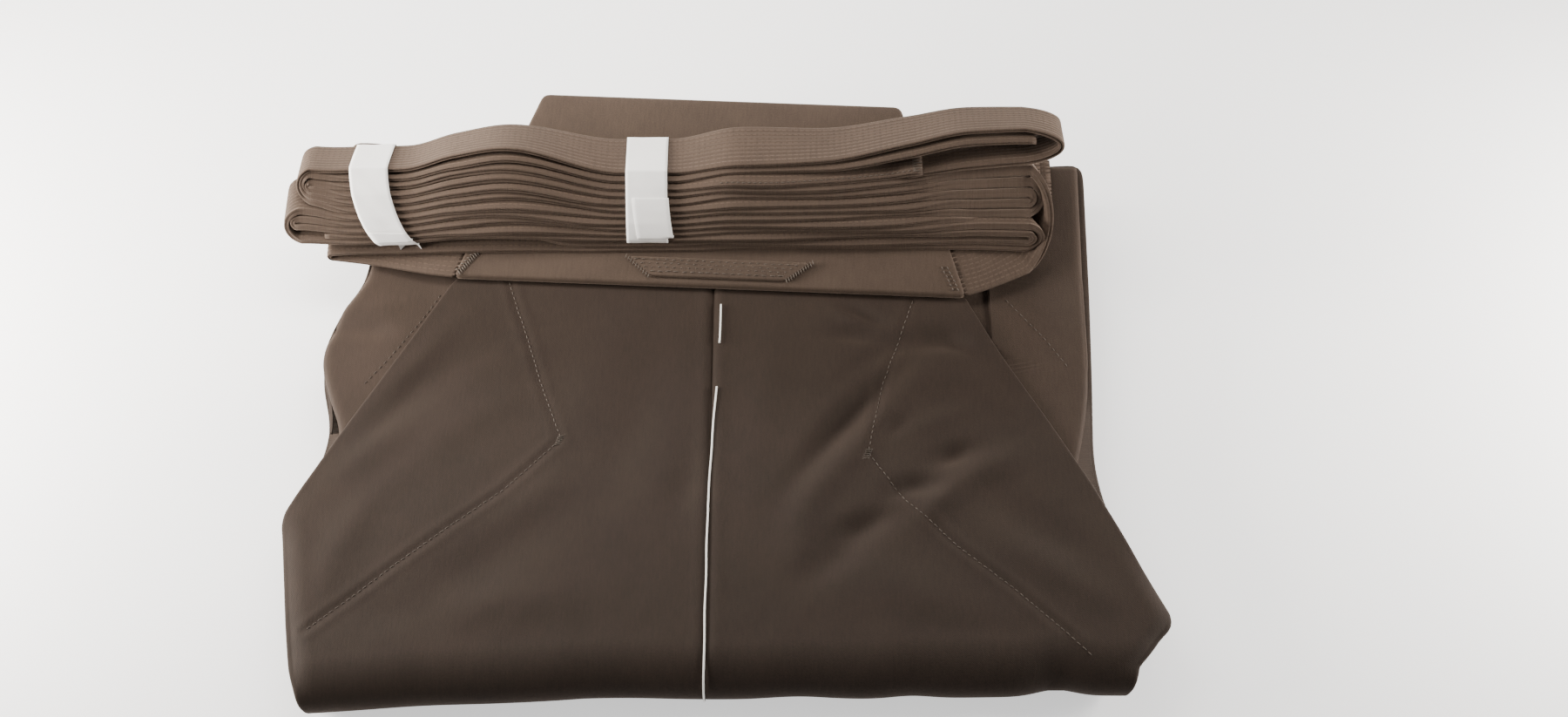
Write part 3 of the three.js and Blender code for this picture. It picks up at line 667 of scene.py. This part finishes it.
def front_panel(side):
    name = "front_" + SIDES[side]
    columns, rows = 92, 124
    y = np.linspace(WAIST_EDGE - 4, -206, rows)[:, None]
    reach = outline_at(PILE[side][:-1], y, 9) - side * (3.2 + 12 * smooth(-y, 60, 165))
    share = np.linspace(0, 1, columns)[None, :]
    inner = side * SEAM_GAP / 2 + 0 * y
    if side > 0:
        inner = inner + (RIGHT_FRONT_EDGE - 1) * smooth(-y, -14, -4) * smooth(y, -62, -46)
    x = mix(inner, reach, share)
    face = front_point(side, x, y + 0 * x)
    rounded = np.exp(-((np.abs(x - reach) / 1.6) ** 2))
    face[..., 2] -= 1.1 * rounded
    return cloth_piece(name + "_cloth", face, PLY, x, y + 0 * x, FRONT_CLOTH_PAINTED_LIGHT, [name])


def front_facing():
    """The ply that shows between the right back panel and the edge of the front."""
    columns, rows = 30, 34
    y = np.linspace(20, -70, rows)[:, None]
    x = np.linspace(118, RIGHT_FRONT_EDGE + 4, columns)[None, :] + 0 * y
    y = y + 0 * x
    z = front_top(y) - 1.5 + sunk(x, y) + 0.2 * np.sin(x / 5 + y / 9)
    return cloth_piece("front_facing", np.stack([x, y, z], axis=-1), 0.7, x, y, FRONT_CLOTH_PAINTED_LIGHT)


def rounded_outline(corners, rounds, spacing):
    """A closed outline through corners, each cut by a soft curve."""
    corners = np.asarray(corners, float)
    pieces = []
    for i, here in enumerate(corners):
        ways = [corners[i - 1] - here, corners[(i + 1) % len(corners)] - here]
        reach = [min(rounds[i], np.linalg.norm(way) / 2) for way in ways]
        before, after = [here + way / np.linalg.norm(way) * r for way, r in zip(ways, reach)]
        t = np.linspace(0, 1, 12)[:, None]
        pieces.append((1 - t) ** 2 * before + 2 * t * (1 - t) * here + t * t * after)
    line = np.concatenate([*pieces, pieces[0][:1]])
    return resampled(line, spacing)[:-1]


def inward_from(outline):
    """Directions from a closed outline to its inside."""
    tangent = unit(np.roll(outline, -1, 0) - np.roll(outline, 1, 0))
    inward = np.stack([-tangent[:, 1], tangent[:, 0]], axis=1)
    return inward if ((outline.mean(0) - outline) * inward).sum() >= 0 else -inward


def folded_legs():
    corners = [(x, y) for y, x in PILE[1] + PILE[-1][::-1]]
    rounds = PILE_ROUND[1] + PILE_ROUND[-1][::-1]
    outline = rounded_outline(corners, rounds, 3.2)
    count = len(outline)
    inward = inward_from(outline)
    near = smooth(inward[:, 1], 0.25, 0.85)
    at = np.linspace(0, 2 * math.pi, count, endpoint=False)
    half = back_top(NEAR_EDGE) / 2
    room = PLY + 0.7

    def ring(share, inset):
        height = share * pile_height(outline[:, 1])
        off = np.clip(np.abs(height - half) / (half - room), 0, 1)
        fold = room + 0.6 + FOLD_REACH * (1 - np.sqrt(np.maximum(0, 1 - off**2)))
        moved = outline + inward * mix(inset, fold, near)[:, None]
        return np.column_stack([moved, share * pile_height(moved[:, 1])])

    rings = []
    shares = random.uniform(0.8, 1.25, LEAVES)
    shares = np.concatenate([[0], np.cumsum(shares / shares.sum())])
    for leaf in range(LEAVES):
        edge = random.uniform(0.6, 4.2) if leaf % 3 else random.uniform(0.2, 1.2)
        for turns in (2, 3, 5, 9):
            wave = random.uniform(0.2, 0.9) / math.sqrt(turns) * 2
            edge = edge + wave * np.sin(turns * at + random.uniform(0, 6.3))
        edge = np.maximum(edge, -0.6)
        if leaf == 0:
            edge = np.maximum(edge, 0.8)
        for part, inset in LEAF_PROFILE:
            rings.append(ring(mix(shares[leaf], shares[leaf + 1], part), edge + inset))
    rings.append(ring(1.0, 2.6))
    rim = rings[-1]
    middle = np.array([0, (NEAR_EDGE + WAIST_EDGE) / 2])
    for scale in (0.85, 0.6, 0.3):
        inner = middle + (rim[:, :2] - middle) * scale
        rings.append(np.column_stack([inner, pile_height(inner[:, 1]) - 0.8]))
    points, quads, fans = skin(rings)
    run = np.linalg.norm(np.roll(outline, -1, 0) - outline, axis=1).cumsum()
    weave = np.zeros((len(points), 3))
    weave[: len(rings) * count, 0] = np.tile(run, len(rings))
    weave[:, 1] = points[:, 2] * 3
    return new_piece("folded_legs_cloth", points, quads, BODY_CLOTH_PAINTED_SHADE, ["folded_legs"], fans, weave)


# Ties


def path_rows(*columns):
    """Points of a tie's near edge: x, y, z, roll, skew, thickness, set back, how far it is pressed flush."""
    return np.stack(np.broadcast_arrays(*[np.asarray(column, float) for column in columns]), axis=-1)


def bundle_at(level, x):
    """Where the near edge of a tie in the bundle lies, at one or more places along it."""
    x = np.asarray(x, float)
    value = {name: curve(x) for name, curve in bundle_curve.items()}
    share = level / TOP_LEVEL
    below_top = level < TOP_LEVEL
    pressed = smooth(x, *PRESSED["right"]) * (level < SHELF_LEVEL)
    pressed = pressed + smooth(-x, *PRESSED["left"]) * below_top
    shut = smooth(x, *CLOSED)
    closed = (level - (level > WAIST_LEVEL) - 0.5 * (level == WAIST_LEVEL)) * SHELF_LEVEL / (SHELF_LEVEL - 1)
    room = BAND_ROOM if level >= BAND_LEVEL else 0
    z = mix(value["foot_z"], value["shelf_z"] - BAND_ROOM, mix(level, closed, shut) / SHELF_LEVEL) + room
    if level > SHELF_LEVEL:
        under = np.maximum((value["top_z"] + value["shelf_z"]) / 2, value["top_z"] - PARTED)
        z = value["top_z"] if level == TOP_LEVEL else under
    free = np.minimum(smooth(np.abs(x - BANDS["middle"]), 12, 46), smooth(np.abs(x + 180), 24, 50))
    wander = np.sin(x / 43 + 2.4 * level) + 0.6 * np.sin(x / 19 + 1.7 * level)
    y = mix(FOOT_Y, value["top_y"], share**1.7) + wander * (0.25 + 0.65 * free) * (1 - pressed) * below_top
    z = z + 0.16 * np.sin(x / 29 + 1.3 * level) * free * below_top
    y = y - 2.2 * smooth(x, -5, 40) * (level == SHELF_LEVEL)
    end = smooth(-x, 196, 224)
    if level > UPPER_LOBE:
        down = (TOP_LEVEL - level) / 5
        z = z + end * (LOBE_LIFT * down - 1.6 * (level == TOP_LEVEL))
        y = y + end * LOBE_LIFT * 1.1 * down
    else:
        z = z + end * LOBE_LIFT * 0.7 * level / 6
        y = y + end * LOBE_LIFT * 0.6 * level / 6
    roll = mix(FOOT_ROLL, value["top_roll"], share**1.4)
    behind = 1.7 * share**0.7 * (value["top_y"] - FOOT_Y) / TOP_LEVEL
    thick = TOP_TIE
    if level <= SHELF_LEVEL:
        pitch = (value["shelf_z"] - BAND_ROOM - value["foot_z"]) / SHELF_LEVEL
        tilt = np.radians(roll)
        thick = np.minimum(0.96 * (pitch * np.cos(tilt) - behind * np.sin(tilt)), 4.4)
        thick = thick * (1 - 0.7 * shut * (level == WAIST_LEVEL))
    skew = -FOLD_SKEW * smooth(x, 124, RIGHT_FOLDS) * (level < SHELF_LEVEL)
    return path_rows(x, y, z, roll, skew, thick, behind * pressed, pressed)


def run(level, start, end, step=3.0):
    count = max(2, int(abs(end - start) / step))
    return bundle_at(level, np.linspace(start, end, count + 1))


def turn(start, end, side, reach=None):
    """A half turn to the left or right. It reaches as far as it is high unless a reach is given."""
    height = end[2] - start[2]
    reach = abs(height) / 2 if reach is None else reach
    steps = max(8, int((abs(height) + reach) * 0.9))
    share = np.arange(1, steps)[:, None] / steps
    points = mix(start[None], end[None], share)
    angle = math.pi * share[:, 0]
    points[:, 0] += side * reach * np.sin(angle)
    points[:, 2] = (start[2] + end[2]) / 2 - height / 2 * np.cos(angle)
    points[:, 5] = np.minimum(points[:, 5], max(1.6, abs(height) - 0.4))
    return points


def folded(stretches, sides, shapes=None):
    """Joins stretches of a tie by turns. Some turns, counted from 0, have their own shape."""
    path = [stretches[0]]
    for i, (side, stretch) in enumerate(zip(sides, stretches[1:])):
        path += [turn(path[-1][-1], stretch[0], side, **(shapes or {}).get(i, {})), stretch]
    return np.concatenate(path)


def slanted_run(level, start, end, settled):
    """A run that comes in from the waist and slants forward to its place."""
    points = run(level, start, end)
    share = np.clip((points[:, 0] - settled) / (start - settled), 0, 1)
    share = smooth(share, 0, 1) * np.where(np.sign(start - settled) * (points[:, 0] - settled) > 0, 1, 0)
    roll = np.radians(points[:, 3])
    shift = share * (WAIST["y"] - points[:, 1]) / np.cos(roll)
    points[:, 1] += shift * np.cos(roll)
    points[:, 2] += shift * np.sin(roll)
    return points


def waist_run(start, end, layer):
    z = front_top(WAIST["y"]) + SEAM_GAP + WAIST_TIE + 1.25 + layer * WAIST_PASS
    count = max(2, int(abs(end - start) / 6))
    x = np.linspace(start, end, count + 1)
    return path_rows(x, WAIST["y"], z, WAIST["roll"], 0, TIE, 0, 0)


def eased_entry(rows):
    """A stretch through a few rows of x, y, z, roll and skew, in even steps."""
    rows = np.asarray(rows, float)
    at = np.abs(rows[:, 0] - rows[0, 0])
    places = np.linspace(0, at[-1], max(3, int(at[-1] / 3)))
    columns = [flowing(at, rows[:, i])(places) for i in range(5)]
    return path_rows(*columns, TIE + 0.2, 0, 0)


def left_back_path():
    entry = [
        (-141.6, 4.8, 34.8, 11, 11.4),
        (-151, 6.2, 34.4, 10, 6),
        (-166, 9.6, 33.6, 9, 1),
        (-186, 14, 33.3, 9, 0),
        (LEFT_BACK_FOLD, FOOT_Y, 33.4, 9, 0),
    ]
    stretches = [eased_entry(entry), run(0, LEFT_BACK_FOLD, RIGHT_FOLDS), run(3, RIGHT_FOLDS, -212)]
    return folded(stretches, [-1, 1])


def tip_run(x):
    """The right back tie's last run, whose tip lies on the tail of the left front tie."""
    points = bundle_at(SHELF_LEVEL, x)
    lift = smooth(points[..., 0], RIGHT_BACK_TIE_END - 17, RIGHT_BACK_TIE_END - 5)
    points[..., 1] -= 1.2 * lift
    points[..., 2] += 2.5 * lift
    return points


def right_back_path():
    entry = [
        (136.6, -8.2, 34.8, 11, -8.2),
        (146, -5.2, 35.2, 10.5, -5),
        (157, -0.6, 35.8, 10, -10),
        (RIGHT_FOLDS, 6, 37, 9, -FOLD_SKEW),
    ]
    last = tip_run(np.linspace(LEFT_HIGH, RIGHT_BACK_TIE_END, 112))
    stretches = [eased_entry(entry), run(9, RIGHT_FOLDS, LEFT_HIGH), last]
    return folded(stretches, [1, -1], {0: {"reach": CUFF_REACH}})


def right_front_path():
    stretches = [
        waist_run(WAIST["right"] - 6, UNDER_BOARD, 0),
        waist_run(UNDER_BOARD, WAIST_FOLD, 1),
        slanted_run(WAIST_LEVEL, WAIST_FOLD, LEFT_LOW - 2, RIGHT_SETTLED),
        run(5, LEFT_LOW - 2, RIGHT_FOLDS),
        run(8, RIGHT_FOLDS, LEFT_HIGH),
        run(11, LEFT_HIGH, RIGHT_FRONT_TIE_END),
    ]
    return folded(stretches, [-1, 1, -1, 1, -1])


def left_front_path():
    stretches = [
        waist_run(WAIST["left"] + 8, WAIST["left"] - 12, 0),
        slanted_run(1, WAIST["left"] - 12, RIGHT_FOLDS, LEFT_SETTLED),
        run(2, RIGHT_FOLDS, LEFT_LOW),
        run(6, LEFT_LOW, RIGHT_FOLDS),
        run(7, RIGHT_FOLDS, LEFT_HIGH),
        run(TOP_LEVEL, LEFT_HIGH, LOOP_START),
        run(SHELF_LEVEL, LOOP_START, TAIL_END),
    ]
    return folded(stretches, [-1, 1, -1, 1, -1, 1], {5: {"reach": LOOP_REACH}})


TIES = {
    "back_tie_left": (left_back_path, BACK_TIE_WIDTH),
    "back_tie_right": (right_back_path, BACK_TIE_WIDTH),
    "front_tie_left": (left_front_path, FRONT_TIE_WIDTH),
    "front_tie_right": (right_front_path, FRONT_TIE_WIDTH),
}


def tie_frames(path):
    """The directions across and up from a tie along its path."""
    tangent = unit(np.gradient(path[:, :3], axis=0))
    roll = np.radians(path[:, 3])
    across = np.stack([0 * roll, np.cos(roll), np.sin(roll)], axis=-1)
    return across, unit(np.cross(tangent, across))


def tie_section(width):
    """Half a tie's section: places across it, and heights as shares of its thickness, from its near edge up.

    Its two plies part in a groove along the edge, and its face is quilted in rows."""
    rows = int(round(width / QUILT_ROW))
    flat = np.linspace(0, 1, rows * 4 + 1)
    face = mix(1.2, width - 1.2, flat)
    puff = 0.5 - QUILT_DIP * (1 - np.abs(np.sin(math.pi * rows * flat)) ** 0.7)
    near = [(1.5, 0.02), (0.7, 0.07), (0.15, 0.15), (0.0, 0.25), (0.15, 0.36), (0.6, 0.45)]
    far = [(width - a, h) for a, h in near[::-1]]
    return np.array([*near, *zip(face, puff), *far])


def quilted_tie(name, path, width, nodes):
    """A flat quilted tie along a path of its front edge."""
    half = tie_section(width)
    section = np.concatenate([half, half[::-1] * (1, -1)])
    across, up = tie_frames(path)
    height = section[None, :, 1:] * path[:, 5, None, None]
    near = np.where(section[:, 0] < 1.55, 0.85, 0) * section[:, 0]
    set_back = path[:, 6, None] * (0.5 + section[None, :, 1] * up[:, 2:])
    places = set_back + (section[None, :, 0] - near * path[:, 7, None]) * (width - set_back) / width
    rings = path[:, None, :3] + across[:, None] * places[..., None] + up[:, None] * height
    rings[..., 0] += path[:, None, 4] * section[None, :, 0] / width
    points, quads, fans = skin(rings)
    run_length = lengths_along(path[:, :3])
    weave = np.zeros((len(points), 3))
    count = len(path) * len(section)
    weave[:count, 0] = np.repeat(run_length, len(section))
    weave[:count, 1] = np.tile(np.clip(section[:, 0], 0.6, width - 0.6), len(path))
    piece = new_piece(name, points, quads, TIE_CLOTH_PAINTED_LIGHT, nodes, fans, weave)
    return piece, run_length[-1]


def waist_tie():
    x = np.linspace(WAIST["left"], WAIST["right"], 110)
    z = front_top(WAIST["y"]) + SEAM_GAP + WAIST_TIE / 2 + 0.1 + 0.15 * np.sin(x / 19)
    path = path_rows(x, WAIST["y"], z, WAIST["roll"], 0, WAIST_TIE, 0, 0)
    return quilted_tie("front_waist_binding", path, FRONT_TIE_WIDTH - 0.5, ["front_waist_tie"])


# Paper bands


def band_loops(centre, width, lean, out, steps, directions=144, count=150):
    """Rings of a band pulled round the bundle, that leans more and more to the right towards the foot."""
    loops = []
    for place_x in centre + width * np.linspace(-0.5, 0.5, steps):
        corners = []
        for level in range(BAND_LEVEL, TOP_LEVEL + 1):
            x = place_x
            p = bundle_at(level, x + lean * ((TOP_LEVEL - level) / (TOP_LEVEL - BAND_LEVEL)) ** BAND_BEND)
            roll = math.radians(p[3])
            reach = BACK_TIE_WIDTH if level in BACK_TIE_LEVELS else FRONT_TIE_WIDTH
            for along in (0.6, reach - 0.6):
                for up in (-p[5] / 2, p[5] / 2):
                    y = p[1] + along * math.cos(roll) - up * math.sin(roll)
                    corners.append((x, y, p[2] + along * math.sin(roll) + up * math.cos(roll)))
        corners = np.array(corners)
        angle = 2 * math.pi * (np.arange(directions) + 0.5) / directions
        facing = np.stack([0 * angle, np.cos(angle), np.sin(angle)], axis=1)
        furthest = corners[np.argmax(facing @ corners.T, axis=1)] + facing * out
        ring = evenly(np.concatenate([furthest, furthest[:1]]), count + 1)[:-1]
        low, high = ring[:, 2].min(), ring[:, 2].max()
        ring[:, 0] += lean * ((high - ring[:, 2]) / (high - low)) ** BAND_BEND
        loops.append(ring)
    return np.array(loops)


def tube_piece(name, outside, inside, material, nodes=()):
    loops = np.concatenate([outside, inside[::-1]])
    rings, count = loops.shape[:2]
    r = np.arange(rings)[:, None]
    c = np.arange(count)[None, :]
    down, after = (r + 1) % rings, (c + 1) % count
    quads = np.stack([r * count + c, r * count + after, down * count + after, down * count + c], axis=-1)
    return new_piece(name, loops.reshape(-1, 3), quads.reshape(-1, 4), material, nodes)


def paper_band(name, centre, width, lean):
    thickness = 0.3
    outside = band_loops(centre, width, lean, 0.95, 14)
    inside = band_loops(centre, width, lean, 0.95 - thickness, 14)
    x, z = outside[..., 0], outside[..., 2]
    dents = 0.16 * np.sin(x / 2.7 + z / 4.3) * np.sin(z / 3.1 + x / 9)
    outside[..., 1] += dents
    inside[..., 1] += dents
    return tube_piece(name, outside, inside, PAPER, [name])


def band_tail(name, centre, width, lean, top_share, drop, shift):
    """The free end of a band, pasted over its front."""
    outside = band_loops(centre + shift, width, lean, 1.45, 10)
    loop = outside[0]
    front = np.where(loop[:, 1] < np.median(loop[:, 1]))[0]
    z = loop[front, 2]
    low, high = z.min(), z.max()
    wanted = np.linspace(mix(low, high, top_share), low + 1.0, 30)
    rows = []
    for ring in outside:
        strip = ring[front]
        order = np.argsort(strip[:, 2])
        rows.append(np.stack([np.interp(wanted, strip[order, 2], strip[order, i]) for i in range(3)], axis=1))
    face = np.array(rows).transpose(1, 0, 2)
    end = np.linspace(0, 1, 6)[1:, None, None]
    ragged = 0.5 * np.sin(np.linspace(0, 9, face.shape[1]))
    hang = face[-1][None] + end * np.array([lean * 0.06, -0.4, -drop])
    hang = hang + end * ragged[None, :, None] * np.array([0, 0, 1])
    points, quads = cloth_wall(np.concatenate([face, hang]), 0.3)
    return new_piece(name, points, quads, PAPER)


# Back board


def board_place(points):
    """Puts points of the board, which lies on z = 0 with its foot at y = 0, in their place."""
    tilt, yaw = math.radians(BOARD["tilt"]), math.radians(BOARD["turn"])
    x, y, z = np.moveaxis(np.asarray(points, float), -1, 0)
    y, z = y * math.cos(tilt) - z * math.sin(tilt), y * math.sin(tilt) + z * math.cos(tilt)
    x, y = x * math.cos(yaw) - y * math.sin(yaw), x * math.sin(yaw) + y * math.cos(yaw)
    return np.stack([x + BOARD["x"], y + BOARD["y"], z + back_top(0) + SEAM_GAP], axis=-1)


def padded_plate(corners, rounding, thickness, soft, crown=0.0):
    """Rings of a plate with rounded edges, for skin()."""
    outline = rounded_outline(corners, [rounding] * len(corners), 2.0)
    inward = inward_from(outline)
    rings = []
    for angle in np.radians(np.linspace(-90, 90, 11)):
        inset = soft * (1 - math.cos(angle))
        z = thickness / 2 + thickness / 2 * math.sin(angle)
        rings.append(np.column_stack([outline + inward * inset, np.full(len(outline), z)]))
    middle = outline.mean(0)
    rim = rings[-1][:, :2]
    for scale in (0.94, 0.84, 0.7, 0.5, 0.3, 0.12):
        inner = middle + (rim - middle) * scale
        uneven = 0.12 * np.sin(inner[:, 0] / 14) * np.sin(inner[:, 1] / 11)
        rings.append(np.column_stack([inner, thickness + crown * (1 - scale**2) + uneven]))
    return np.array(rings)


def board_piece(name, rings, nodes, material):
    points, quads, fans = skin(board_place(rings))
    flat = np.asarray(rings).reshape(-1, 3)
    weave = np.zeros((len(points), 3))
    weave[: len(flat), :2] = flat[:, :2]
    weave[: len(flat), 1] += flat[:, 2]
    return new_piece(name, points, quads, material, nodes, fans, weave)


def back_board():
    foot, head, height = BOARD["foot"] / 2, BOARD["head"] / 2, BOARD["height"]
    corners = [(-foot, 0), (foot, 0), (head, height), (-head, height)]
    rings = padded_plate(corners, 4, BOARD["thick"], 2.2, 0.3)
    return board_piece("back_board_cover", rings, ["back_board"], BOARD_CLOTH_PAINTED_LIGHT)


def board_stay():
    rings = padded_plate(STAY, 1.5, STAY_THICK, 0.9, 0.3)
    rings[..., 2] += BOARD["thick"] + 0.2
    return board_piece("board_stay_cover", rings, ["board_stay"], BOARD_CLOTH_PAINTED_LIGHT)


# Stitching


def stitches(name, stretches, radius, material, lift=0.5):
    """Short threads, each between two points on a surface and raised in the middle by lift."""
    sides, steps = 6, 6
    share = np.linspace(0, 1, steps)
    ring = np.arange(sides) / sides * 2 * math.pi
    skins = []
    for start, end, normal in stretches:
        start, end, normal = (np.asarray(v, float) for v in (start, end, normal))
        way = unit(end - start)
        side = unit(np.cross(way, normal))
        raised = (np.sin(share * math.pi) * lift - 0.1)[:, None]
        centre = mix(start[None], end[None], share[:, None]) + normal * raised
        taper = radius * (0.55 + 0.45 * np.sin(share * math.pi) ** 0.5)
        tube = centre[:, None] + taper[:, None, None] * (
            side * np.cos(ring)[None, :, None] + normal * np.sin(ring)[None, :, None]
        )
        skins.append(skin(tube))
    points, quads, fans = joined(skins)
    return new_piece(name, points, quads, material, (), fans)


def running(surface, line, length, gap, wobble=0.0):
    """Running stitches along a line on a surface given as a function of x and y."""
    path = resampled(line, length + gap)
    found = []
    for i in range(len(path) - 1):
        way = path[i + 1] - path[i]
        nudge = random.uniform(-wobble, wobble, 4).reshape(2, 2)
        start = path[i] + nudge[0]
        end = path[i] + way * length / (length + gap) + nudge[1]
        a, b = surface(*start), surface(*end)
        found.append((a, b, surface_normal(surface, *((start + end) / 2))))
    return found


def surface_normal(surface, x, y):
    small = 0.6
    along_x = surface(x + small, y) - surface(x - small, y)
    along_y = surface(x, y + small) - surface(x, y - small)
    return unit(np.cross(along_x, along_y))


def back_surface(side):
    return lambda x, y: back_point(side, x, y)


def front_surface(side):
    return lambda x, y: front_point(side, np.asarray(x), np.asarray(y))


def board_surface(height):
    return lambda x, y: board_place(np.stack([x, y, 0 * x + height], axis=-1))


def overcast(surface, line, spacing, reach, slant):
    """Slanted stitches across a line."""
    path = resampled(line, spacing)
    way = unit(np.gradient(path, axis=0))
    side = np.stack([-way[:, 1], way[:, 0]], axis=1)
    found = []
    for p, w, s in zip(path, way, side):
        start, end = p - s * reach / 2 - w * slant / 2, p + s * reach / 2 + w * slant / 2
        found.append((surface(*start), surface(*end), surface_normal(surface, *p)))
    return found


def seat_stitches(side):
    """The lines that hold the lining of the seat, with a bar where they meet."""
    found = []
    for line in SEAT_LINES[side]:
        found += running(back_surface(side), line, 2.3, 1.1, 0.16)
    corner = SEAT_LINES[side][0][-1]
    for i in range(7):
        x, y = corner[0] - 1.6 + 0.3 * i, corner[1] - 4 + i * 0.9
        found.append((back_point(side, x - 1.8, y), back_point(side, x + 2.0, y + 0.8), (0, 0, 1)))
    return stitches("seat_stitches_" + SIDES[side], found, 0.24, THREAD, lift=0.25)


def hip_stitches(side):
    found = running(front_surface(side), HIP_LINES[side], 2.4, 1.6, 0.12)
    return stitches("hip_stitches_" + SIDES[side], found, 0.22, THREAD, lift=0.25)


def basting():
    """The white tacking thread over the centre seam, in long stitches."""
    skins = []
    for line in BASTING:
        path = resampled(line, 1.5)
        x = path[:, 0] + 0.12 * np.sin(path[:, 1] / 6)
        middle = back_point(1, np.maximum(x, 0.2), path[:, 1])
        left = back_point(-1, np.minimum(x, -0.2), path[:, 1])
        centre = np.where((x > 0)[:, None], middle, left)
        centre[:, 0] = x
        tangent = unit(np.gradient(centre, axis=0))
        side = np.array([1.0, 0, 0])
        normal = unit(np.cross(side, tangent))
        normal *= np.where(normal[:, 2:] + 0.8 * (-normal[:, 1:2]) < 0, -1, 1)
        centre = centre + normal * 0.75
        ring = np.arange(8) / 8 * 2 * math.pi
        round_it = side * np.cos(ring)[None, :, None] + normal[:, None] * np.sin(ring)[None, :, None]
        skins.append(skin(centre[:, None] + 0.5 * round_it))
    points, quads, fans = joined(skins)
    return new_piece("basting_thread", points, quads, WHITE_THREAD, (), fans)


def board_stitches():
    """The overcast left corner and the two rows at the right one."""
    face = board_surface(BOARD["thick"] + 0.2)
    foot = BOARD["foot"] / 2
    found = overcast(face, [(-foot + 14, 17), (-foot + 3.5, 2.2)], 1.5, 3.2, 1.4)
    found += overcast(face, [(-foot + 12, 16.5), (-foot + 2.5, 4)], 2.2, 2.2, -1.4)
    found += running(face, [(foot - 11, 17), (foot - 4, 2)], 2.0, 0.9, 0.2)
    found += running(face, [(foot - 14, 17), (foot - 7, 2)], 2.0, 0.9, 0.2)
    return stitches("board_corner_stitches", found, 0.34, THREAD, lift=0.5)


def stay_stitches():
    """Rows of stitches through the stay, overcast at its two ends."""
    face = board_surface(BOARD["thick"] + STAY_THICK + 0.5)
    foot_left, foot_right, head_right, head_left = STAY
    found = []
    for row, (y, length, gap) in enumerate(STAY_ROWS):
        share = (y - foot_left[1]) / (head_left[1] - foot_left[1])
        left = mix(foot_left[0], head_left[0], share) + 2
        right = mix(foot_right[0], head_right[0], share) - 3
        found += running(face, [(left + 1.2 * (row % 2), y + 0.5), (right, y)], length, gap, 0.3)
    face = board_surface(BOARD["thick"] + STAY_THICK)
    found += overcast(face, [foot_right, head_right], 1.7, 3.0, 1.2)
    found += overcast(face, [foot_left, head_left], 1.9, 2.6, -1.2)
    return stitches("stay_stitches", found, 0.28, THREAD, lift=0.32)


def tie_end_stitches():
    """The running stitches and the bar at the free end of the right back tie."""

    def face(x, y):
        p = tip_run(np.minimum(x, RIGHT_BACK_TIE_END))
        roll = math.radians(float(p[3]))
        half = float(p[5]) / 2
        out = y * math.cos(roll) - half * math.sin(roll)
        return np.array([x, p[1] + out, p[2] + y * math.sin(roll) + half])

    found = running(face, [(4, 1.3), (RIGHT_BACK_TIE_END - 2, 1.3)], 1.7, 1.3, 0.1)
    for i in range(12):
        y = 0.8 + 1.1 * i
        slant = 0.9 if i % 2 else -0.6
        start, end = face(RIGHT_BACK_TIE_END - 5.5, y), face(RIGHT_BACK_TIE_END - 0.6, y + slant)
        found.append((start, end, (0, 0, 1)))
    return stitches("tie_end_stitches", found, 0.26, THREAD, lift=0.35)


# The scene


def camera():
    """Seen from in front and above, as in the photograph."""
    data = bpy.data.cameras.new("camera")
    data.sensor_width = 36
    data.lens = 52
    item = bpy.data.objects.new("camera", data)
    item.location = place((38.3, -757.8, 1008.7))
    item.rotation_euler = (math.radians(36), 0, 0)
    bpy.context.scene.collection.objects.link(item)
    bpy.context.scene.camera = item


def area_light(name, location, target, size, power, colour):
    data = bpy.data.lights.new(name, "AREA")
    data.shape = "RECTANGLE"
    data.size, data.size_y = size
    data.energy = power
    data.color = colour
    item = bpy.data.objects.new(name, data)
    item.location = location
    way = np.asarray(target, float) - np.asarray(location, float)
    item.rotation_euler = Vector(way).to_track_quat("-Z", "Y").to_euler()
    item.visible_camera = False
    bpy.context.scene.collection.objects.link(item)


def floor():
    mesh = bpy.data.meshes.new("floor")
    reach = 6.0
    corners = [(-reach, -reach, 0), (reach, -reach, 0), (reach, reach, 0), (-reach, reach, 0)]
    mesh.from_pydata(corners, [], [(0, 1, 2, 3)])
    mesh.materials.append(floor_material())
    item = bpy.data.objects.new("floor", mesh)
    bpy.context.scene.collection.objects.link(item)


def world():
    item = bpy.data.worlds.new("studio")
    item.use_nodes = True
    item.node_tree.nodes["Background"].inputs["Color"].default_value = (1, 1, 1, 1)
    item.node_tree.nodes["Background"].inputs["Strength"].default_value = 0.21
    bpy.context.scene.world = item


camera()
world()
floor()
area_light("lamp", (-0.12, 0.15, 0.36), (-0.12, 0.12, 0), (0.45, 0.14), 1.7, (1, 0.955, 0.90))
area_light("window", (-0.06, 0.64, 0.32), (0.0, 0.10, 0), (0.8, 0.12), 5.0, (1, 0.96, 0.91))
area_light("side_left", (-0.66, 0.03, 0.20), (-0.22, 0.09, 0.03), (0.3, 0.25), 12.5, (1, 0.95, 0.89))
area_light("side_right", (0.68, 0.04, 0.16), (0.22, 0.07, 0.03), (0.3, 0.2), 6.5, (1, 0.95, 0.89))

folded_legs()
fronts = {side: front_panel(side) for side in SIDES}
front_facing()
backs = {side: back_panel(side) for side in SIDES}
waist_piece, waist_length = waist_tie()
ties = {name: quilted_tie(name + "_cloth", path(), width, [name]) for name, (path, width) in TIES.items()}
back_board()
board_stay()
paper_band("paper_band_left", BANDS["left"], 21, 15)
paper_band("paper_band_middle", BANDS["middle"], 22.5, 0)
band_tail("paper_tail_left", BANDS["left"], 19.5, 15, 0.3, 3.2, 0.8)
band_tail("paper_tail_middle", BANDS["middle"], 19.5, 4, 0.72, 1.0, 1.6)
seat_threads, hip_threads = {}, {}
for side in SIDES:
    seat_threads[side] = seat_stitches(side)
    hip_threads[side] = hip_stitches(side)
basting()
board_stitches()
stay_stitches()
tie_end_stitches()

for name, (piece, length) in ties.items():
    print(name, "length", round(length))
